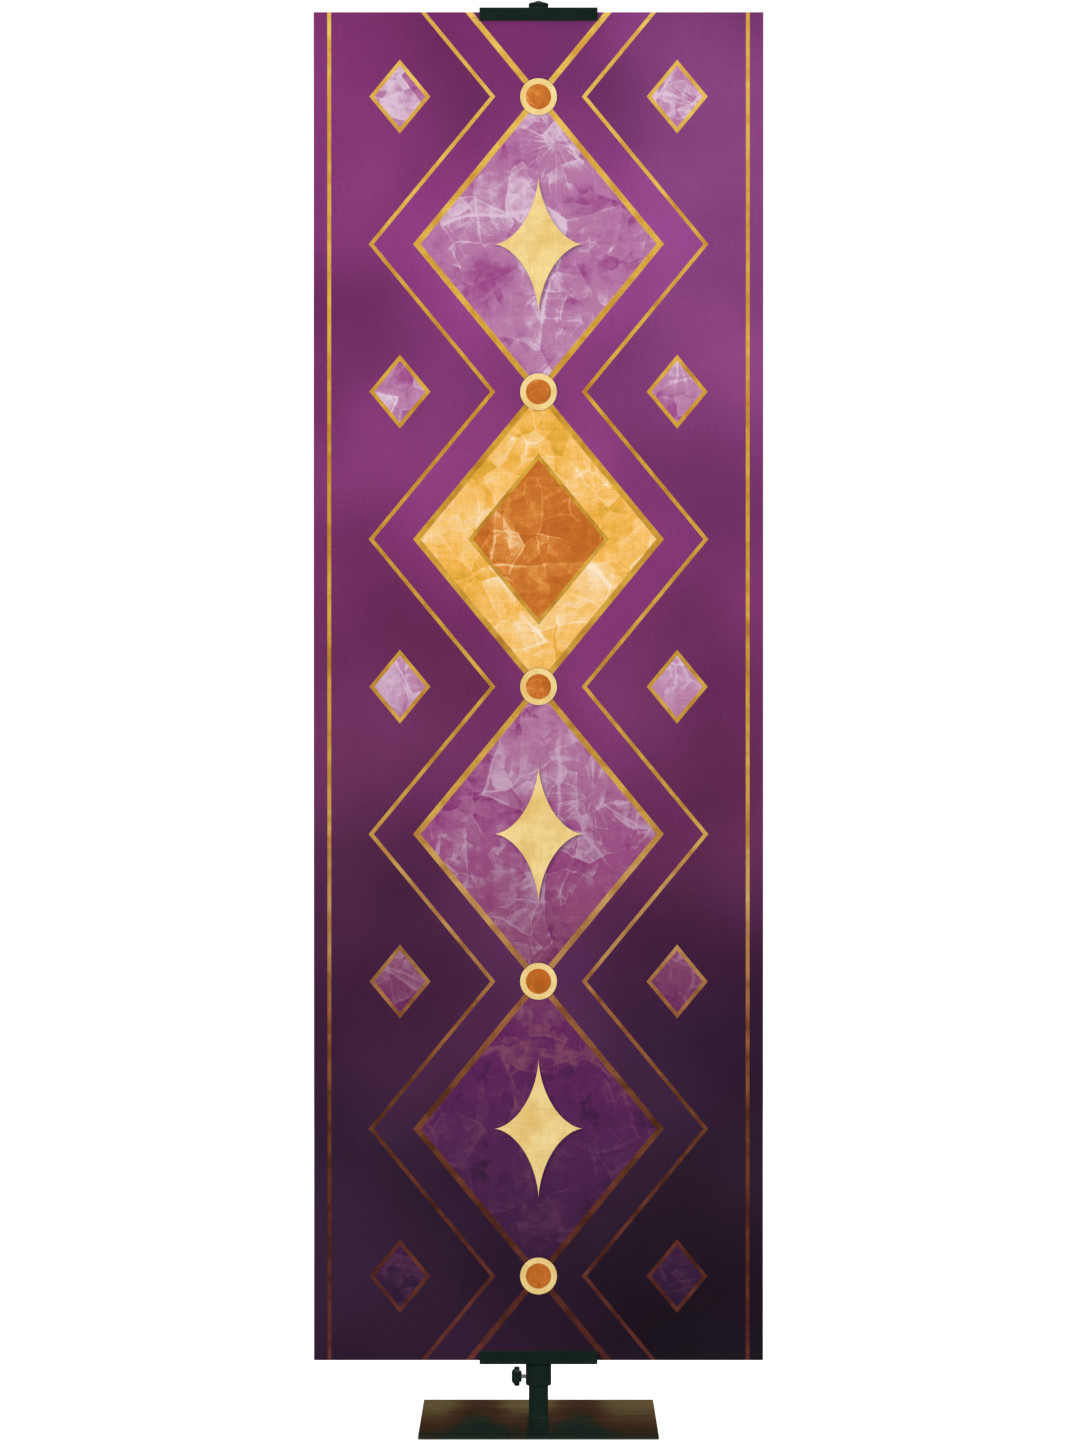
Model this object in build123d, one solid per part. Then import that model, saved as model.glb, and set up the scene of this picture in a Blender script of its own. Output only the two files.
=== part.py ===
from build123d import *
import os

# A free-standing banner stand: a square base plate with a short socket, a pole of two
# telescoping tubes, and two hinged clamp bars that hold a tall cloth banner by its hems.
# Millimetres. The origin is on the floor under the pole, +Z is up, the banner faces -Y,
# and both star knobs are on the -X side.

# ---------------------------------------------------------------- driving sizes
# Base plate, its feet and the weld round the socket
PLATE_SIDE = 320.0
PLATE_THICK = 4.0
PLATE_CORNER = 2.0
PLATE_EDGE = 0.4
FOOT_DIAMETER = 24.0
FOOT_THICK = 1.5
FOOT_INSET = 22.0
WELD_LEG = 3.0

# Tubes: the thin one sets the others through their walls and gaps
UPPER_OD = 19.05
UPPER_WALL = 1.2
LOWER_WALL = 1.2
SOCKET_WALL = 2.0
SOCKET_LENGTH = 72.8
LOWER_LENGTH = 991.5
TELESCOPE_OVERLAP = 120.0

# Lock collars, one on the socket and one on the lower tube
COLLAR_WALL = 4.2
COLLAR_HEIGHT = 31.3
COLLAR_LIP = 3.0
COLLAR_ROUND = 1.4
LOCK_ABOVE_COLLAR_FOOT = 11.7

# Lock screws, their soft tips and star knobs
LOCK_SCREW_DIAMETER = 6.0
LOCK_TIP_DIAMETER = 5.4
LOCK_TIP_LENGTH = 3.0
KNOB_STAND_OFF = 5.7
KNOB_DIAMETER = 26.8
KNOB_DEPTH = 13.5
KNOB_RIM_DEPTH = 7.6
KNOB_DOME_RISE = 3.3
KNOB_LOBES = 6
KNOB_LOBE_DIAMETER = 7.6
KNOB_LOBE_ROUND = 2.4
KNOB_HUB_DIAMETER = 21.0
KNOB_FACE_DIAMETER = 9.0
KNOB_BOSS_DIAMETER = 15.6
KNOB_BOSS_ROUND = 1.0
KNOB_SCREW_DEPTH = 10.0

# Banner, and the slats in its hems
BANNER_WIDTH = 609.6
BANNER_HEIGHT = 1828.8
CLOTH_THICK = 0.4
HEM_HEIGHT = 9.0
SLAT_THICK = 1.0
SLAT_HEIGHT = 7.6
SLAT_CORNER = 2.0

# Clamp bars
CLAMP_WIDTH = 160.0
CLAMP_HEIGHT = 18.0
BACK_JAW_THICK = 2.4
FRONT_JAW_THICK = 2.0
FRONT_JAW_ROUND = 0.5
GRIP_BASE = 1.0
GRIP_TOOTH = 0.4
GRIP_TEETH = 5
GRIP_LENGTH = 152.0
GRIP_HEIGHT = 7.6
GRIP_FROM_MOUTH = 2.4
UPPER_CLOTH_SEAT = 1.1
LOWER_CLOTH_SEAT = 0.4

# Hinge of each clamp
PIN_DIAMETER = 2.0
PIN_IN_CAP = 1.2
LUG_SPACING = 100.0
LUG_WIDTH = 10.0
LUG_FLAT = 0.3
EAR_WIDTH = 3.0
JAW_OPENING = 75.0
END_CAP_THICK = 2.2
CAP_TONGUE_LENGTH = 4.0
CAP_TONGUE_THICK = 1.0
CAP_TONGUE_HEIGHT = 3.0

# Detent springs behind each clamp
SPRING_THICK = 0.5
SPRING_WIDTH = 7.0
SPRING_FROM_MOUTH = 2.0
SPRING_RISE = 3.8
SPRING_TIP = 2.2
RIVET_DIAMETER = 2.0
RIVET_HEAD_DIAMETER = 3.8
RIVET_HEAD_HEIGHT = 0.8
RIVET_FROM_TAIL = 3.0

# Brackets that carry the clamps on the tubes
BRACKET_WALL = 3.8
BRACKET_HEIGHT = 30.0
FLANGE_WIDTH = 60.0
FLANGE_THICK = 4.0
RIB_THICK = 2.6
JAW_SCREW_DIAMETER = 3.0
JAW_SCREW_SPACING = 44.0
JAW_SCREW_HEAD_DIAMETER = 5.6
JAW_SCREW_HEAD_HEIGHT = 2.0
SET_SCREW_DIAMETER = 4.0
SET_SCREW_HEAD_DIAMETER = 7.0
SET_SCREW_HEAD_HEIGHT = 2.4
SET_SCREW_FROM_FOOT = 6.5
SET_SCREW_BOSS = 1.0

# Plugs and the top cap
PLUG_FLANGE = 3.0
PLUG_LENGTH = 12.0
PLUG_WALL = 1.8
GLIDE_RING = 12.0
CAP_SIDE = 9.4
CAP_SHOULDER = 1.6
CAP_LEDGE_RISE = 0.6
CAP_CONE_RADIUS = 8.9
CAP_CONE_RISE = 2.4
CAP_TIP_RADIUS = 3.3
CAP_TIP_RISE = 0.7
CAP_SPIGOT = 12.0
TUBE_IN_CAP = 4.4

# Clearances
TELESCOPE_GAP = 0.375
POLE_FIT = 0.1
GLIDE_FIT = 0.07
PLUG_FIT = 0.06
COLLAR_FIT = 0.075
SEAT_FIT = 0.02
SCREW_FIT = 0.05
PIN_FIT = 0.05
LOOSE_HOLE = 0.15
TIP_GAP = 0.3
COLLAR_TO_CLAMP = 0.4
COLLAR_TO_CLAMP_BACK = 0.2
CLOTH_GAP = 0.2
SLAT_GAP = 0.1
SLAT_END_GAP = 2.8
JAW_SWING_GAP = 0.3
LUG_SIDE_GAP = 0.2
SPRING_GAP = 0.35
WINDOW_GAP = 0.75
BARREL_EDGE = 0.1

# ---------------------------------------------------------------- sizes that follow
UPPER_R = UPPER_OD / 2
UPPER_BORE_R = UPPER_R - UPPER_WALL
LOWER_BORE_R = UPPER_R + TELESCOPE_GAP
LOWER_R = LOWER_BORE_R + LOWER_WALL
SOCKET_BORE_R = LOWER_R + POLE_FIT
SOCKET_R = SOCKET_BORE_R + SOCKET_WALL

# Depths forward of a clamp's back plane
BACK_GRIP_TIP = BACK_JAW_THICK + GRIP_BASE + GRIP_TOOTH
HEM_BACK = BACK_GRIP_TIP + CLOTH_GAP
HEM_THICK = SLAT_THICK + 2 * (SLAT_GAP + CLOTH_THICK)
HEM_FRONT = HEM_BACK + HEM_THICK
FRONT_JAW_BACK = HEM_FRONT + CLOTH_GAP + GRIP_TOOTH + GRIP_BASE
FRONT_JAW_FACE = FRONT_JAW_BACK + FRONT_JAW_THICK
PIN_DEPTH = (BACK_JAW_THICK + FRONT_JAW_BACK) / 2
CLAMP_BACK = SOCKET_R + COLLAR_WALL + COLLAR_TO_CLAMP_BACK

# Drops from a clamp's hinged edge towards its mouth
BARREL_R = PIN_DEPTH - BACK_JAW_THICK - JAW_SWING_GAP
PIN_DROP = BARREL_R + BARREL_EDGE
BARREL_DROP = PIN_DROP + BARREL_R
GRIP_DROP = CLAMP_HEIGHT - GRIP_FROM_MOUTH - GRIP_HEIGHT
SPRING_TAIL = CLAMP_HEIGHT - SPRING_FROM_MOUTH
RIVET_DROP = SPRING_TAIL - RIVET_FROM_TAIL
SPRING_KNEE = PIN_DROP + SPRING_TIP / 2
SPRING_BEND = SPRING_KNEE + SPRING_RISE
SPRING_DEPTH = PIN_DEPTH - BARREL_R - SPRING_GAP

# Heights above the floor
PLATE_TOP = FOOT_THICK + PLATE_THICK
SOCKET_TOP = PLATE_TOP + SOCKET_LENGTH
LOWER_FOOT = PLATE_TOP + PLUG_FLANGE
LOWER_TOP = LOWER_FOOT + LOWER_LENGTH
UPPER_FOOT = LOWER_TOP - TELESCOPE_OVERLAP
LOWER_EDGE = SOCKET_TOP + COLLAR_LIP + COLLAR_TO_CLAMP
BANNER_FOOT = LOWER_EDGE + BARREL_DROP + LOWER_CLOTH_SEAT
BANNER_TOP = BANNER_FOOT + BANNER_HEIGHT
UPPER_EDGE = BANNER_TOP + BARREL_DROP + UPPER_CLOTH_SEAT
UPPER_TOP = UPPER_EDGE + TUBE_IN_CAP

# A clamp and its bracket are drawn hanging from z = 0, then placed at each end of the pole
AT_TOP = Pos(0, 0, UPPER_EDGE)
AT_FOOT = Pos(0, 0, LOWER_EDGE) * Rot(0, 180, 0)
LUG_STATIONS = (-LUG_SPACING / 2, LUG_SPACING / 2)


# ---------------------------------------------------------------- shapes used throughout
def rod_x(radius, start, end):
    """A round bar along X between two places."""
    return Pos((start + end) / 2, 0, 0) * Rot(0, 90, 0) * Cylinder(radius, end - start)


def rod_y(radius, start, end):
    """A round bar along Y between two places."""
    return Pos(0, (start + end) / 2, 0) * Rot(90, 0, 0) * Cylinder(radius, end - start)


def rod_z(radius, foot, top):
    """A round bar on the pole axis between two heights."""
    return Pos(0, 0, (foot + top) / 2) * Cylinder(radius, top - foot)


def block(x_range, y_range, z_range):
    """A box between pairs of coordinates."""
    ends = (x_range, y_range, z_range)
    middle = [(low + high) / 2 for low, high in ends]
    return Pos(*middle) * Box(*[high - low for low, high in ends])


def turned(lines):
    """A solid turned about the pole axis, from lines that give radius and height."""
    return revolve(Plane.XZ * make_face(lines), Axis.Z)


def turned_outline(*points):
    return turned(Polyline(*points, close=True))


# ---------------------------------------------------------------- base
def base_plate():
    half = PLATE_SIDE / 2
    plate = block((-half, half), (-half, half), (FOOT_THICK, PLATE_TOP))
    plate = fillet(plate.edges().filter_by(Axis.Z), PLATE_CORNER)
    return fillet(plate.faces().sort_by(Axis.Z)[-1].edges(), PLATE_EDGE)


def foot_pads():
    reach = PLATE_SIDE - 2 * FOOT_INSET
    foot = rod_z(FOOT_DIAMETER / 2, 0, FOOT_THICK)
    return Part() + [corner * foot for corner in GridLocations(reach, reach, 2, 2)]


def socket_weld():
    toe = (SOCKET_R + WELD_LEG, PLATE_TOP)
    return turned_outline((SOCKET_R, PLATE_TOP), toe, (SOCKET_R, PLATE_TOP + WELD_LEG))


def lock_height(tube_top):
    """Height of the lock screw of the collar on a tube."""
    return tube_top + COLLAR_LIP - COLLAR_HEIGHT + LOCK_ABOVE_COLLAR_FOOT


def screw_way(tube_top):
    """The tapped way of a lock screw, from the pole out through tube and collar."""
    way = rod_x(LOCK_SCREW_DIAMETER / 2 + SCREW_FIT, -SOCKET_R - 2 * COLLAR_WALL, -UPPER_R)
    return Pos(0, 0, lock_height(tube_top)) * way


def socket_tube():
    wall = rod_z(SOCKET_R, PLATE_TOP, SOCKET_TOP) - rod_z(SOCKET_BORE_R, PLATE_TOP, SOCKET_TOP)
    return wall - screw_way(SOCKET_TOP)


def lock_collar(tube_r, pole_r, tube_top):
    """A collar pressed over a tube's end, with a lip that guides the thinner pole."""
    top = tube_top + COLLAR_LIP
    foot = top - COLLAR_HEIGHT
    body = rod_z(tube_r + COLLAR_WALL, foot, top)
    body = fillet(body.edges().filter_by(GeomType.CIRCLE), COLLAR_ROUND)
    seat = rod_z(tube_r + SEAT_FIT, foot, tube_top)
    return body - seat - rod_z(pole_r, foot, top) - screw_way(tube_top)


# ---------------------------------------------------------------- lock screws and knobs
def lock_tip(pole_r, tube_top):
    face = -pole_r - TIP_GAP
    tip = rod_x(LOCK_TIP_DIAMETER / 2, face - LOCK_TIP_LENGTH, face)
    return Pos(0, 0, lock_height(tube_top)) * tip


def knob_face(tube_r):
    """Where a knob's inner face lies along X."""
    return -(tube_r + COLLAR_WALL + KNOB_STAND_OFF)


def lock_screw(tube_r, pole_r, tube_top):
    end = -pole_r - TIP_GAP - LOCK_TIP_LENGTH
    screw = rod_x(LOCK_SCREW_DIAMETER / 2, knob_face(tube_r) - KNOB_SCREW_DEPTH, end)
    return Pos(0, 0, lock_height(tube_top)) * screw


def star_knob(tube_r, tube_top):
    """A moulded knob: a hub in a ring of round lobes, domed outside, with a boss inside."""
    half = KNOB_DEPTH / 2
    rim = KNOB_DOME_RISE - half
    back = rim + KNOB_RIM_DEPTH
    dome = TangentArc(
        (KNOB_FACE_DIAMETER / 2, -half), (KNOB_HUB_DIAMETER / 2, rim), tangent=(1, 0)
    )
    sides = Polyline(dome @ 1, (KNOB_HUB_DIAMETER / 2, back), (0, back), (0, -half), dome @ 0)
    boss = rod_z(KNOB_BOSS_DIAMETER / 2, 0, half)
    boss = fillet(boss.edges().group_by(Axis.Z)[-1], KNOB_BOSS_ROUND)
    hub = turned(Curve() + [dome, sides]) + boss
    lobe = rod_z(KNOB_LOBE_DIAMETER / 2, rim, back)
    lobe = fillet(lobe.edges().filter_by(GeomType.CIRCLE), KNOB_LOBE_ROUND)
    ring = PolarLocations((KNOB_DIAMETER - KNOB_LOBE_DIAMETER) / 2, KNOB_LOBES)
    knob = Rot(0, 90, 0) * (hub + [place * lobe for place in ring])
    knob -= rod_x(LOCK_SCREW_DIAMETER / 2 + SEAT_FIT, half - KNOB_SCREW_DEPTH, half)
    return Pos(knob_face(tube_r) - half, 0, lock_height(tube_top)) * knob


# ---------------------------------------------------------------- pole
def set_screw_way(reach):
    """The way of a bracket's set screw, drawn hanging from z = 0 with its bracket."""
    height = SET_SCREW_FROM_FOOT - BRACKET_HEIGHT
    return Pos(0, 0, height) * rod_y(SET_SCREW_DIAMETER / 2 + SCREW_FIT, 0, reach)


def pole_end_plug():
    spigot_r = LOWER_BORE_R - PLUG_FIT
    top = LOWER_FOOT + PLUG_LENGTH
    plug = rod_z(LOWER_R, PLATE_TOP, LOWER_FOOT) + rod_z(spigot_r, LOWER_FOOT, top)
    return plug - rod_z(spigot_r - PLUG_WALL, LOWER_FOOT, top)


def lower_tube():
    wall = rod_z(LOWER_R, LOWER_FOOT, LOWER_TOP) - rod_z(LOWER_BORE_R, LOWER_FOOT, LOWER_TOP)
    return wall - AT_FOOT * set_screw_way(2 * LOWER_R) - screw_way(LOWER_TOP)


def upper_tube():
    wall = rod_z(UPPER_R, UPPER_FOOT, UPPER_TOP) - rod_z(UPPER_BORE_R, UPPER_FOOT, UPPER_TOP)
    return wall - AT_TOP * set_screw_way(2 * UPPER_R)


def glide_bush():
    spigot_r = UPPER_BORE_R - SEAT_FIT
    foot = UPPER_FOOT - GLIDE_RING
    top = UPPER_FOOT + PLUG_LENGTH
    ring = rod_z(LOWER_BORE_R - GLIDE_FIT, foot, UPPER_FOOT)
    return ring + rod_z(spigot_r, UPPER_FOOT, top) - rod_z(spigot_r - PLUG_WALL, foot, top)


def top_cap():
    """A round cap: a skirt over the tube's end, a ledge and a blunt cone, a spigot inside."""
    rim = (UPPER_R + BRACKET_WALL, UPPER_EDGE)
    shoulder = (rim[0], UPPER_EDGE + CAP_SIDE)
    ledge = (CAP_CONE_RADIUS, shoulder[1] + CAP_LEDGE_RISE)
    brow = (CAP_TIP_RADIUS, ledge[1] + CAP_CONE_RISE)
    tip = (0, brow[1] + CAP_TIP_RISE)
    outline = Polyline(tip, (0, UPPER_EDGE), rim, shoulder, ledge, brow)
    face = make_face(outline + TangentArc(tip, brow, tangent=(1, 0)))
    corner = face.vertices().sort_by(Axis.X)[-2:].sort_by(Axis.Y)[-1]
    head = revolve(Plane.XZ * fillet(corner, CAP_SHOULDER), Axis.Z)
    spigot_r = UPPER_BORE_R - PLUG_FIT
    foot = UPPER_EDGE - CAP_SPIGOT
    groove = rod_z(UPPER_R + SEAT_FIT, UPPER_EDGE, UPPER_TOP)
    spigot = rod_z(spigot_r, foot, UPPER_TOP) - rod_z(spigot_r - PLUG_WALL, foot, UPPER_EDGE)
    return head - groove + spigot


# ---------------------------------------------------------------- brackets
def bracket(tube_r):
    """A moulded ring on the tube with a ribbed flange for the clamp, hanging from z = 0."""
    ring_r = tube_r + BRACKET_WALL
    half = FLANGE_WIDTH / 2
    flange_back = FLANGE_THICK - CLAMP_BACK
    body = rod_z(ring_r, -BRACKET_HEIGHT, 0)
    body += block((-half, half), (-CLAMP_BACK, flange_back), (-CLAMP_HEIGHT, 0))
    wedge = make_face(
        Polyline((-half, -CLAMP_BACK), (half, -CLAMP_BACK), (half, flange_back), (ring_r, 0),
                 (-ring_r, 0), (-half, flange_back), close=True)
    )
    rib = extrude(wedge, RIB_THICK)
    body += [Pos(0, 0, -RIB_THICK) * rib, Pos(0, 0, -CLAMP_HEIGHT) * rib]
    height = SET_SCREW_FROM_FOOT - BRACKET_HEIGHT
    boss = rod_y(SET_SCREW_HEAD_DIAMETER / 2 + SET_SCREW_BOSS, 0, ring_r + SET_SCREW_BOSS)
    body += Pos(0, 0, height) * boss
    body -= rod_z(tube_r + SEAT_FIT, -BRACKET_HEIGHT, 0)
    body -= set_screw_way(2 * ring_r)
    return body - jaw_screw_ways(JAW_SCREW_DIAMETER / 2 + LOOSE_HOLE)


def pan_head(shank_r, head_r, head_height, tip, seat):
    """A screw along Y with its tip forward and a rounded head behind its seat."""
    head = rod_y(head_r, seat, seat + head_height)
    crown = head.faces().sort_by(Axis.Y)[-1].edges()
    return fillet(crown, head_height / 2) + rod_y(shank_r, tip, seat)


def set_screw(tube_r, bore_r):
    """The screw that bites into the back of the tube's wall and holds the bracket."""
    tip = (tube_r + 3 * bore_r) / 4
    seat = tube_r + BRACKET_WALL + SET_SCREW_BOSS
    head = SET_SCREW_HEAD_DIAMETER / 2
    screw = pan_head(SET_SCREW_DIAMETER / 2, head, SET_SCREW_HEAD_HEIGHT, tip, seat)
    return Pos(0, 0, SET_SCREW_FROM_FOOT - BRACKET_HEIGHT) * screw


# ---------------------------------------------------------------- clamps
def section(*points):
    """A face across a clamp, from pairs of drop from its hinged edge and depth forward."""
    corners = [(0, -CLAMP_BACK - depth, -drop) for drop, depth in points]
    return make_face(Polyline(*corners, close=True))


def bar(face, width):
    return extrude(face, width / 2, both=True)


def slab(drops, depths, width):
    """A bar of rectangular section."""
    (top, mouth), (back, front) = drops, depths
    return bar(section((top, back), (mouth, back), (mouth, front), (top, front)), width)


def on_pin(radius, width):
    """A round bar on the hinge pin's axis."""
    return Pos(0, -CLAMP_BACK - PIN_DEPTH, -PIN_DROP) * rod_x(radius, -width / 2, width / 2)


def at_stations(shape):
    return [Pos(x, 0, 0) * shape for x in LUG_STATIONS]


def ear(width):
    """A rounded ear that reaches from the back jaw round the pin."""
    reach = (PIN_DROP - BARREL_R, BARREL_DROP)
    return slab(reach, (BACK_JAW_THICK, PIN_DEPTH), width) + on_pin(BARREL_R, width)


def at_jaw_screws(shape):
    half = JAW_SCREW_SPACING / 2
    return [Pos(x, 0, -CLAMP_HEIGHT / 2) * shape for x in (-half, half)]


def jaw_screw_ways(radius):
    return at_jaw_screws(rod_y(radius, -CLAMP_BACK - BACK_JAW_THICK, FLANGE_THICK - CLAMP_BACK))


def back_jaw():
    """The fixed jaw: a flat bar with pairs of ears, and a window behind each hinge lug."""
    width = CLAMP_WIDTH - 2 * END_CAP_THICK
    jaw = slab((0, CLAMP_HEIGHT), (0, BACK_JAW_THICK), width)
    offset = LUG_WIDTH / 2 + LUG_SIDE_GAP + EAR_WIDTH / 2
    for station in LUG_STATIONS:
        jaw += [Pos(station + side * offset, 0, 0) * ear(EAR_WIDTH) for side in (-1, 1)]
    window_ends = (SPRING_KNEE - SPRING_TIP - WINDOW_GAP, SPRING_BEND + WINDOW_GAP)
    window = slab(window_ends, (0, BACK_JAW_THICK), SPRING_WIDTH + 2 * WINDOW_GAP)
    jaw -= at_stations(window)
    jaw -= at_stations(rivet_way())
    jaw -= on_pin(PIN_DIAMETER / 2 + SEAT_FIT, width)
    return jaw - jaw_screw_ways(JAW_SCREW_DIAMETER / 2 + SEAT_FIT)


def front_jaw():
    """The swinging jaw: a plain cover with lugs that turn on the pin."""
    cover = section((0, FRONT_JAW_BACK), (CLAMP_HEIGHT, FRONT_JAW_BACK),
                    (CLAMP_HEIGHT, FRONT_JAW_FACE), (0, FRONT_JAW_FACE))
    front_corners = cover.vertices().sort_by(Axis.Y)[:2]
    jaw = bar(fillet(front_corners, FRONT_JAW_ROUND), CLAMP_WIDTH)
    reach = (PIN_DROP - BARREL_R, BARREL_DROP)
    lug = slab(reach, (PIN_DEPTH, FRONT_JAW_BACK), LUG_WIDTH) + on_pin(BARREL_R, LUG_WIDTH)
    rest_flat = slab(reach, (PIN_DEPTH - 2 * BARREL_R, PIN_DEPTH - BARREL_R + LUG_FLAT), LUG_WIDTH)
    pin = Vector(0, -CLAMP_BACK - PIN_DEPTH, -PIN_DROP)
    open_flat = Pos(pin) * Rot(JAW_OPENING, 0, 0) * Pos(-pin) * rest_flat
    lug -= [rest_flat, open_flat]
    jaw += at_stations(lug)
    return jaw - on_pin(PIN_DIAMETER / 2 + PIN_FIT, CLAMP_WIDTH)


def hinge_pin():
    return on_pin(PIN_DIAMETER / 2, CLAMP_WIDTH - 2 * (END_CAP_THICK - PIN_IN_CAP))


def end_caps():
    """A cap on each end of the back jaw that also keeps the hinge pin in."""
    width = CLAMP_WIDTH / 2 - END_CAP_THICK / 2
    cap = slab((0, CLAMP_HEIGHT), (0, BACK_JAW_THICK), END_CAP_THICK) + ear(END_CAP_THICK)
    tongue_drops = (BARREL_DROP, BARREL_DROP + CAP_TONGUE_HEIGHT)
    tongue_depths = (BACK_JAW_THICK, BACK_JAW_THICK + CAP_TONGUE_THICK)
    tongue = slab(tongue_drops, tongue_depths, END_CAP_THICK + 2 * CAP_TONGUE_LENGTH)
    caps = Pos(-width, 0, 0) * (cap + tongue) + Pos(width, 0, 0) * (cap + tongue)
    half = CLAMP_WIDTH / 2
    caps = caps & block((-half, half), (-2 * CLAMP_BACK, 0), (-CLAMP_HEIGHT, 0))
    pin_hole = on_pin(PIN_DIAMETER / 2 + SEAT_FIT, CLAMP_WIDTH - 2 * (END_CAP_THICK - PIN_IN_CAP))
    return caps - pin_hole


def grip(root, way):
    """A rubber strip along a jaw with teeth that face the cloth."""
    pitch = GRIP_HEIGHT / GRIP_TEETH
    crest = root + way * (GRIP_BASE + GRIP_TOOTH)
    valley = root + way * GRIP_BASE
    teeth = [(GRIP_DROP, valley)]
    for tooth in range(GRIP_TEETH):
        teeth.append((GRIP_DROP + (tooth + 0.5) * pitch, crest))
        teeth.append((GRIP_DROP + (tooth + 1) * pitch, valley))
    return bar(section((GRIP_DROP, root), *teeth, (GRIP_DROP + GRIP_HEIGHT, root)), GRIP_LENGTH)


def rivet_way():
    radius = RIVET_DIAMETER / 2 + SEAT_FIT
    way = rod_y(radius, -CLAMP_BACK - BACK_JAW_THICK, SPRING_THICK - CLAMP_BACK)
    return Pos(0, 0, -RIVET_DROP) * way


def detent_springs():
    """Leaf springs riveted behind the back jaw that press through its windows on the lugs."""
    knee_back = SPRING_DEPTH - SPRING_THICK
    tip = SPRING_KNEE - SPRING_TIP
    leaf = section((SPRING_TAIL, -SPRING_THICK), (SPRING_BEND, -SPRING_THICK),
                   (SPRING_KNEE, knee_back), (tip, knee_back), (tip, SPRING_DEPTH),
                   (SPRING_KNEE, SPRING_DEPTH), (SPRING_BEND, 0), (SPRING_TAIL, 0))
    return Part() + at_stations(bar(leaf, SPRING_WIDTH) - rivet_way())


def spring_rivets():
    head = RIVET_HEAD_DIAMETER / 2
    seat = SPRING_THICK - CLAMP_BACK
    tip = -CLAMP_BACK - BACK_JAW_THICK
    rivet = pan_head(RIVET_DIAMETER / 2, head, RIVET_HEAD_HEIGHT, tip, seat)
    return Part() + at_stations(Pos(0, 0, -RIVET_DROP) * rivet)


def jaw_screws():
    head = JAW_SCREW_HEAD_DIAMETER / 2
    seat = FLANGE_THICK - CLAMP_BACK
    tip = -CLAMP_BACK - BACK_JAW_THICK
    screw = pan_head(JAW_SCREW_DIAMETER / 2, head, JAW_SCREW_HEAD_HEIGHT, tip, seat)
    return Part() + at_jaw_screws(screw)


# ---------------------------------------------------------------- banner
def cloth_slab(width, depths, heights):
    near, far = [-CLAMP_BACK - depth for depth in reversed(depths)]
    return block((-width / 2, width / 2), (near, far), heights)


def hem(foot):
    """A flat pocket sewn along an end of the banner, open at both sides."""
    folded = cloth_slab(BANNER_WIDTH, (HEM_BACK, HEM_FRONT), (foot, foot + HEM_HEIGHT))
    depths = (HEM_BACK + CLOTH_THICK, HEM_FRONT - CLOTH_THICK)
    heights = (foot + CLOTH_THICK, foot + HEM_HEIGHT - CLOTH_THICK)
    return folded - cloth_slab(BANNER_WIDTH, depths, heights)


def banner():
    sheet_foot = BANNER_FOOT + HEM_HEIGHT
    sheet_top = BANNER_TOP - HEM_HEIGHT
    depths = (HEM_FRONT - CLOTH_THICK, HEM_FRONT)
    sheet = cloth_slab(BANNER_WIDTH, depths, (sheet_foot, sheet_top))
    return sheet + hem(BANNER_FOOT) + hem(sheet_top)


def slat(hem_foot):
    """A stiff strip that fills a hem and keeps the banner's end straight."""
    foot = hem_foot + (HEM_HEIGHT - SLAT_HEIGHT) / 2
    back = HEM_BACK + CLOTH_THICK + SLAT_GAP
    length = BANNER_WIDTH - 2 * SLAT_END_GAP
    strip = cloth_slab(length, (back, back + SLAT_THICK), (foot, foot + SLAT_HEIGHT))
    return fillet(strip.edges().filter_by(Axis.Y), SLAT_CORNER)


# ---------------------------------------------------------------- the stand
nodes = {
    "base_plate": base_plate(),
    "foot_pads": foot_pads(),
    "socket_weld": socket_weld(),
    "socket_tube": socket_tube(),
    "base_collar": lock_collar(SOCKET_R, SOCKET_BORE_R, SOCKET_TOP),
    "base_lock_tip": lock_tip(LOWER_R, SOCKET_TOP),
    "base_lock_screw": lock_screw(SOCKET_R, LOWER_R, SOCKET_TOP),
    "base_lock_knob": star_knob(SOCKET_R, SOCKET_TOP),
    "pole_end_plug": pole_end_plug(),
    "lower_tube": lower_tube(),
    "height_collar": lock_collar(LOWER_R, UPPER_R + COLLAR_FIT, LOWER_TOP),
    "height_lock_tip": lock_tip(UPPER_R, LOWER_TOP),
    "height_lock_screw": lock_screw(LOWER_R, UPPER_R, LOWER_TOP),
    "height_lock_knob": star_knob(LOWER_R, LOWER_TOP),
    "upper_tube": upper_tube(),
    "glide_bush": glide_bush(),
    "top_cap": top_cap(),
    "banner": banner(),
    "bottom_slat": slat(BANNER_FOOT),
    "top_slat": slat(BANNER_TOP - HEM_HEIGHT),
}

clamp = {
    "back_jaw": back_jaw(),
    "front_jaw": front_jaw(),
    "jaw_pin": hinge_pin(),
    "end_caps": end_caps(),
    "back_grip": grip(BACK_JAW_THICK, 1),
    "front_grip": grip(FRONT_JAW_BACK, -1),
    "detent_springs": detent_springs(),
    "spring_rivets": spring_rivets(),
    "jaw_screws": jaw_screws(),
}

ends = {"upper": (AT_TOP, UPPER_R, UPPER_BORE_R), "lower": (AT_FOOT, LOWER_R, LOWER_BORE_R)}
for end, (place, tube_r, bore_r) in ends.items():
    nodes[f"{end}_bracket"] = place * bracket(tube_r)
    nodes[f"{end}_bracket_screw"] = place * set_screw(tube_r, bore_r)
    for name, shape in clamp.items():
        nodes[f"{end}_{name}"] = place * shape

os.makedirs("parts", exist_ok=True)
for name, shape in nodes.items():
    export_step(shape, f"parts/{name}.step")
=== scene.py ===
import math

import bmesh
import bpy
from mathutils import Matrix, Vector, noise


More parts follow.
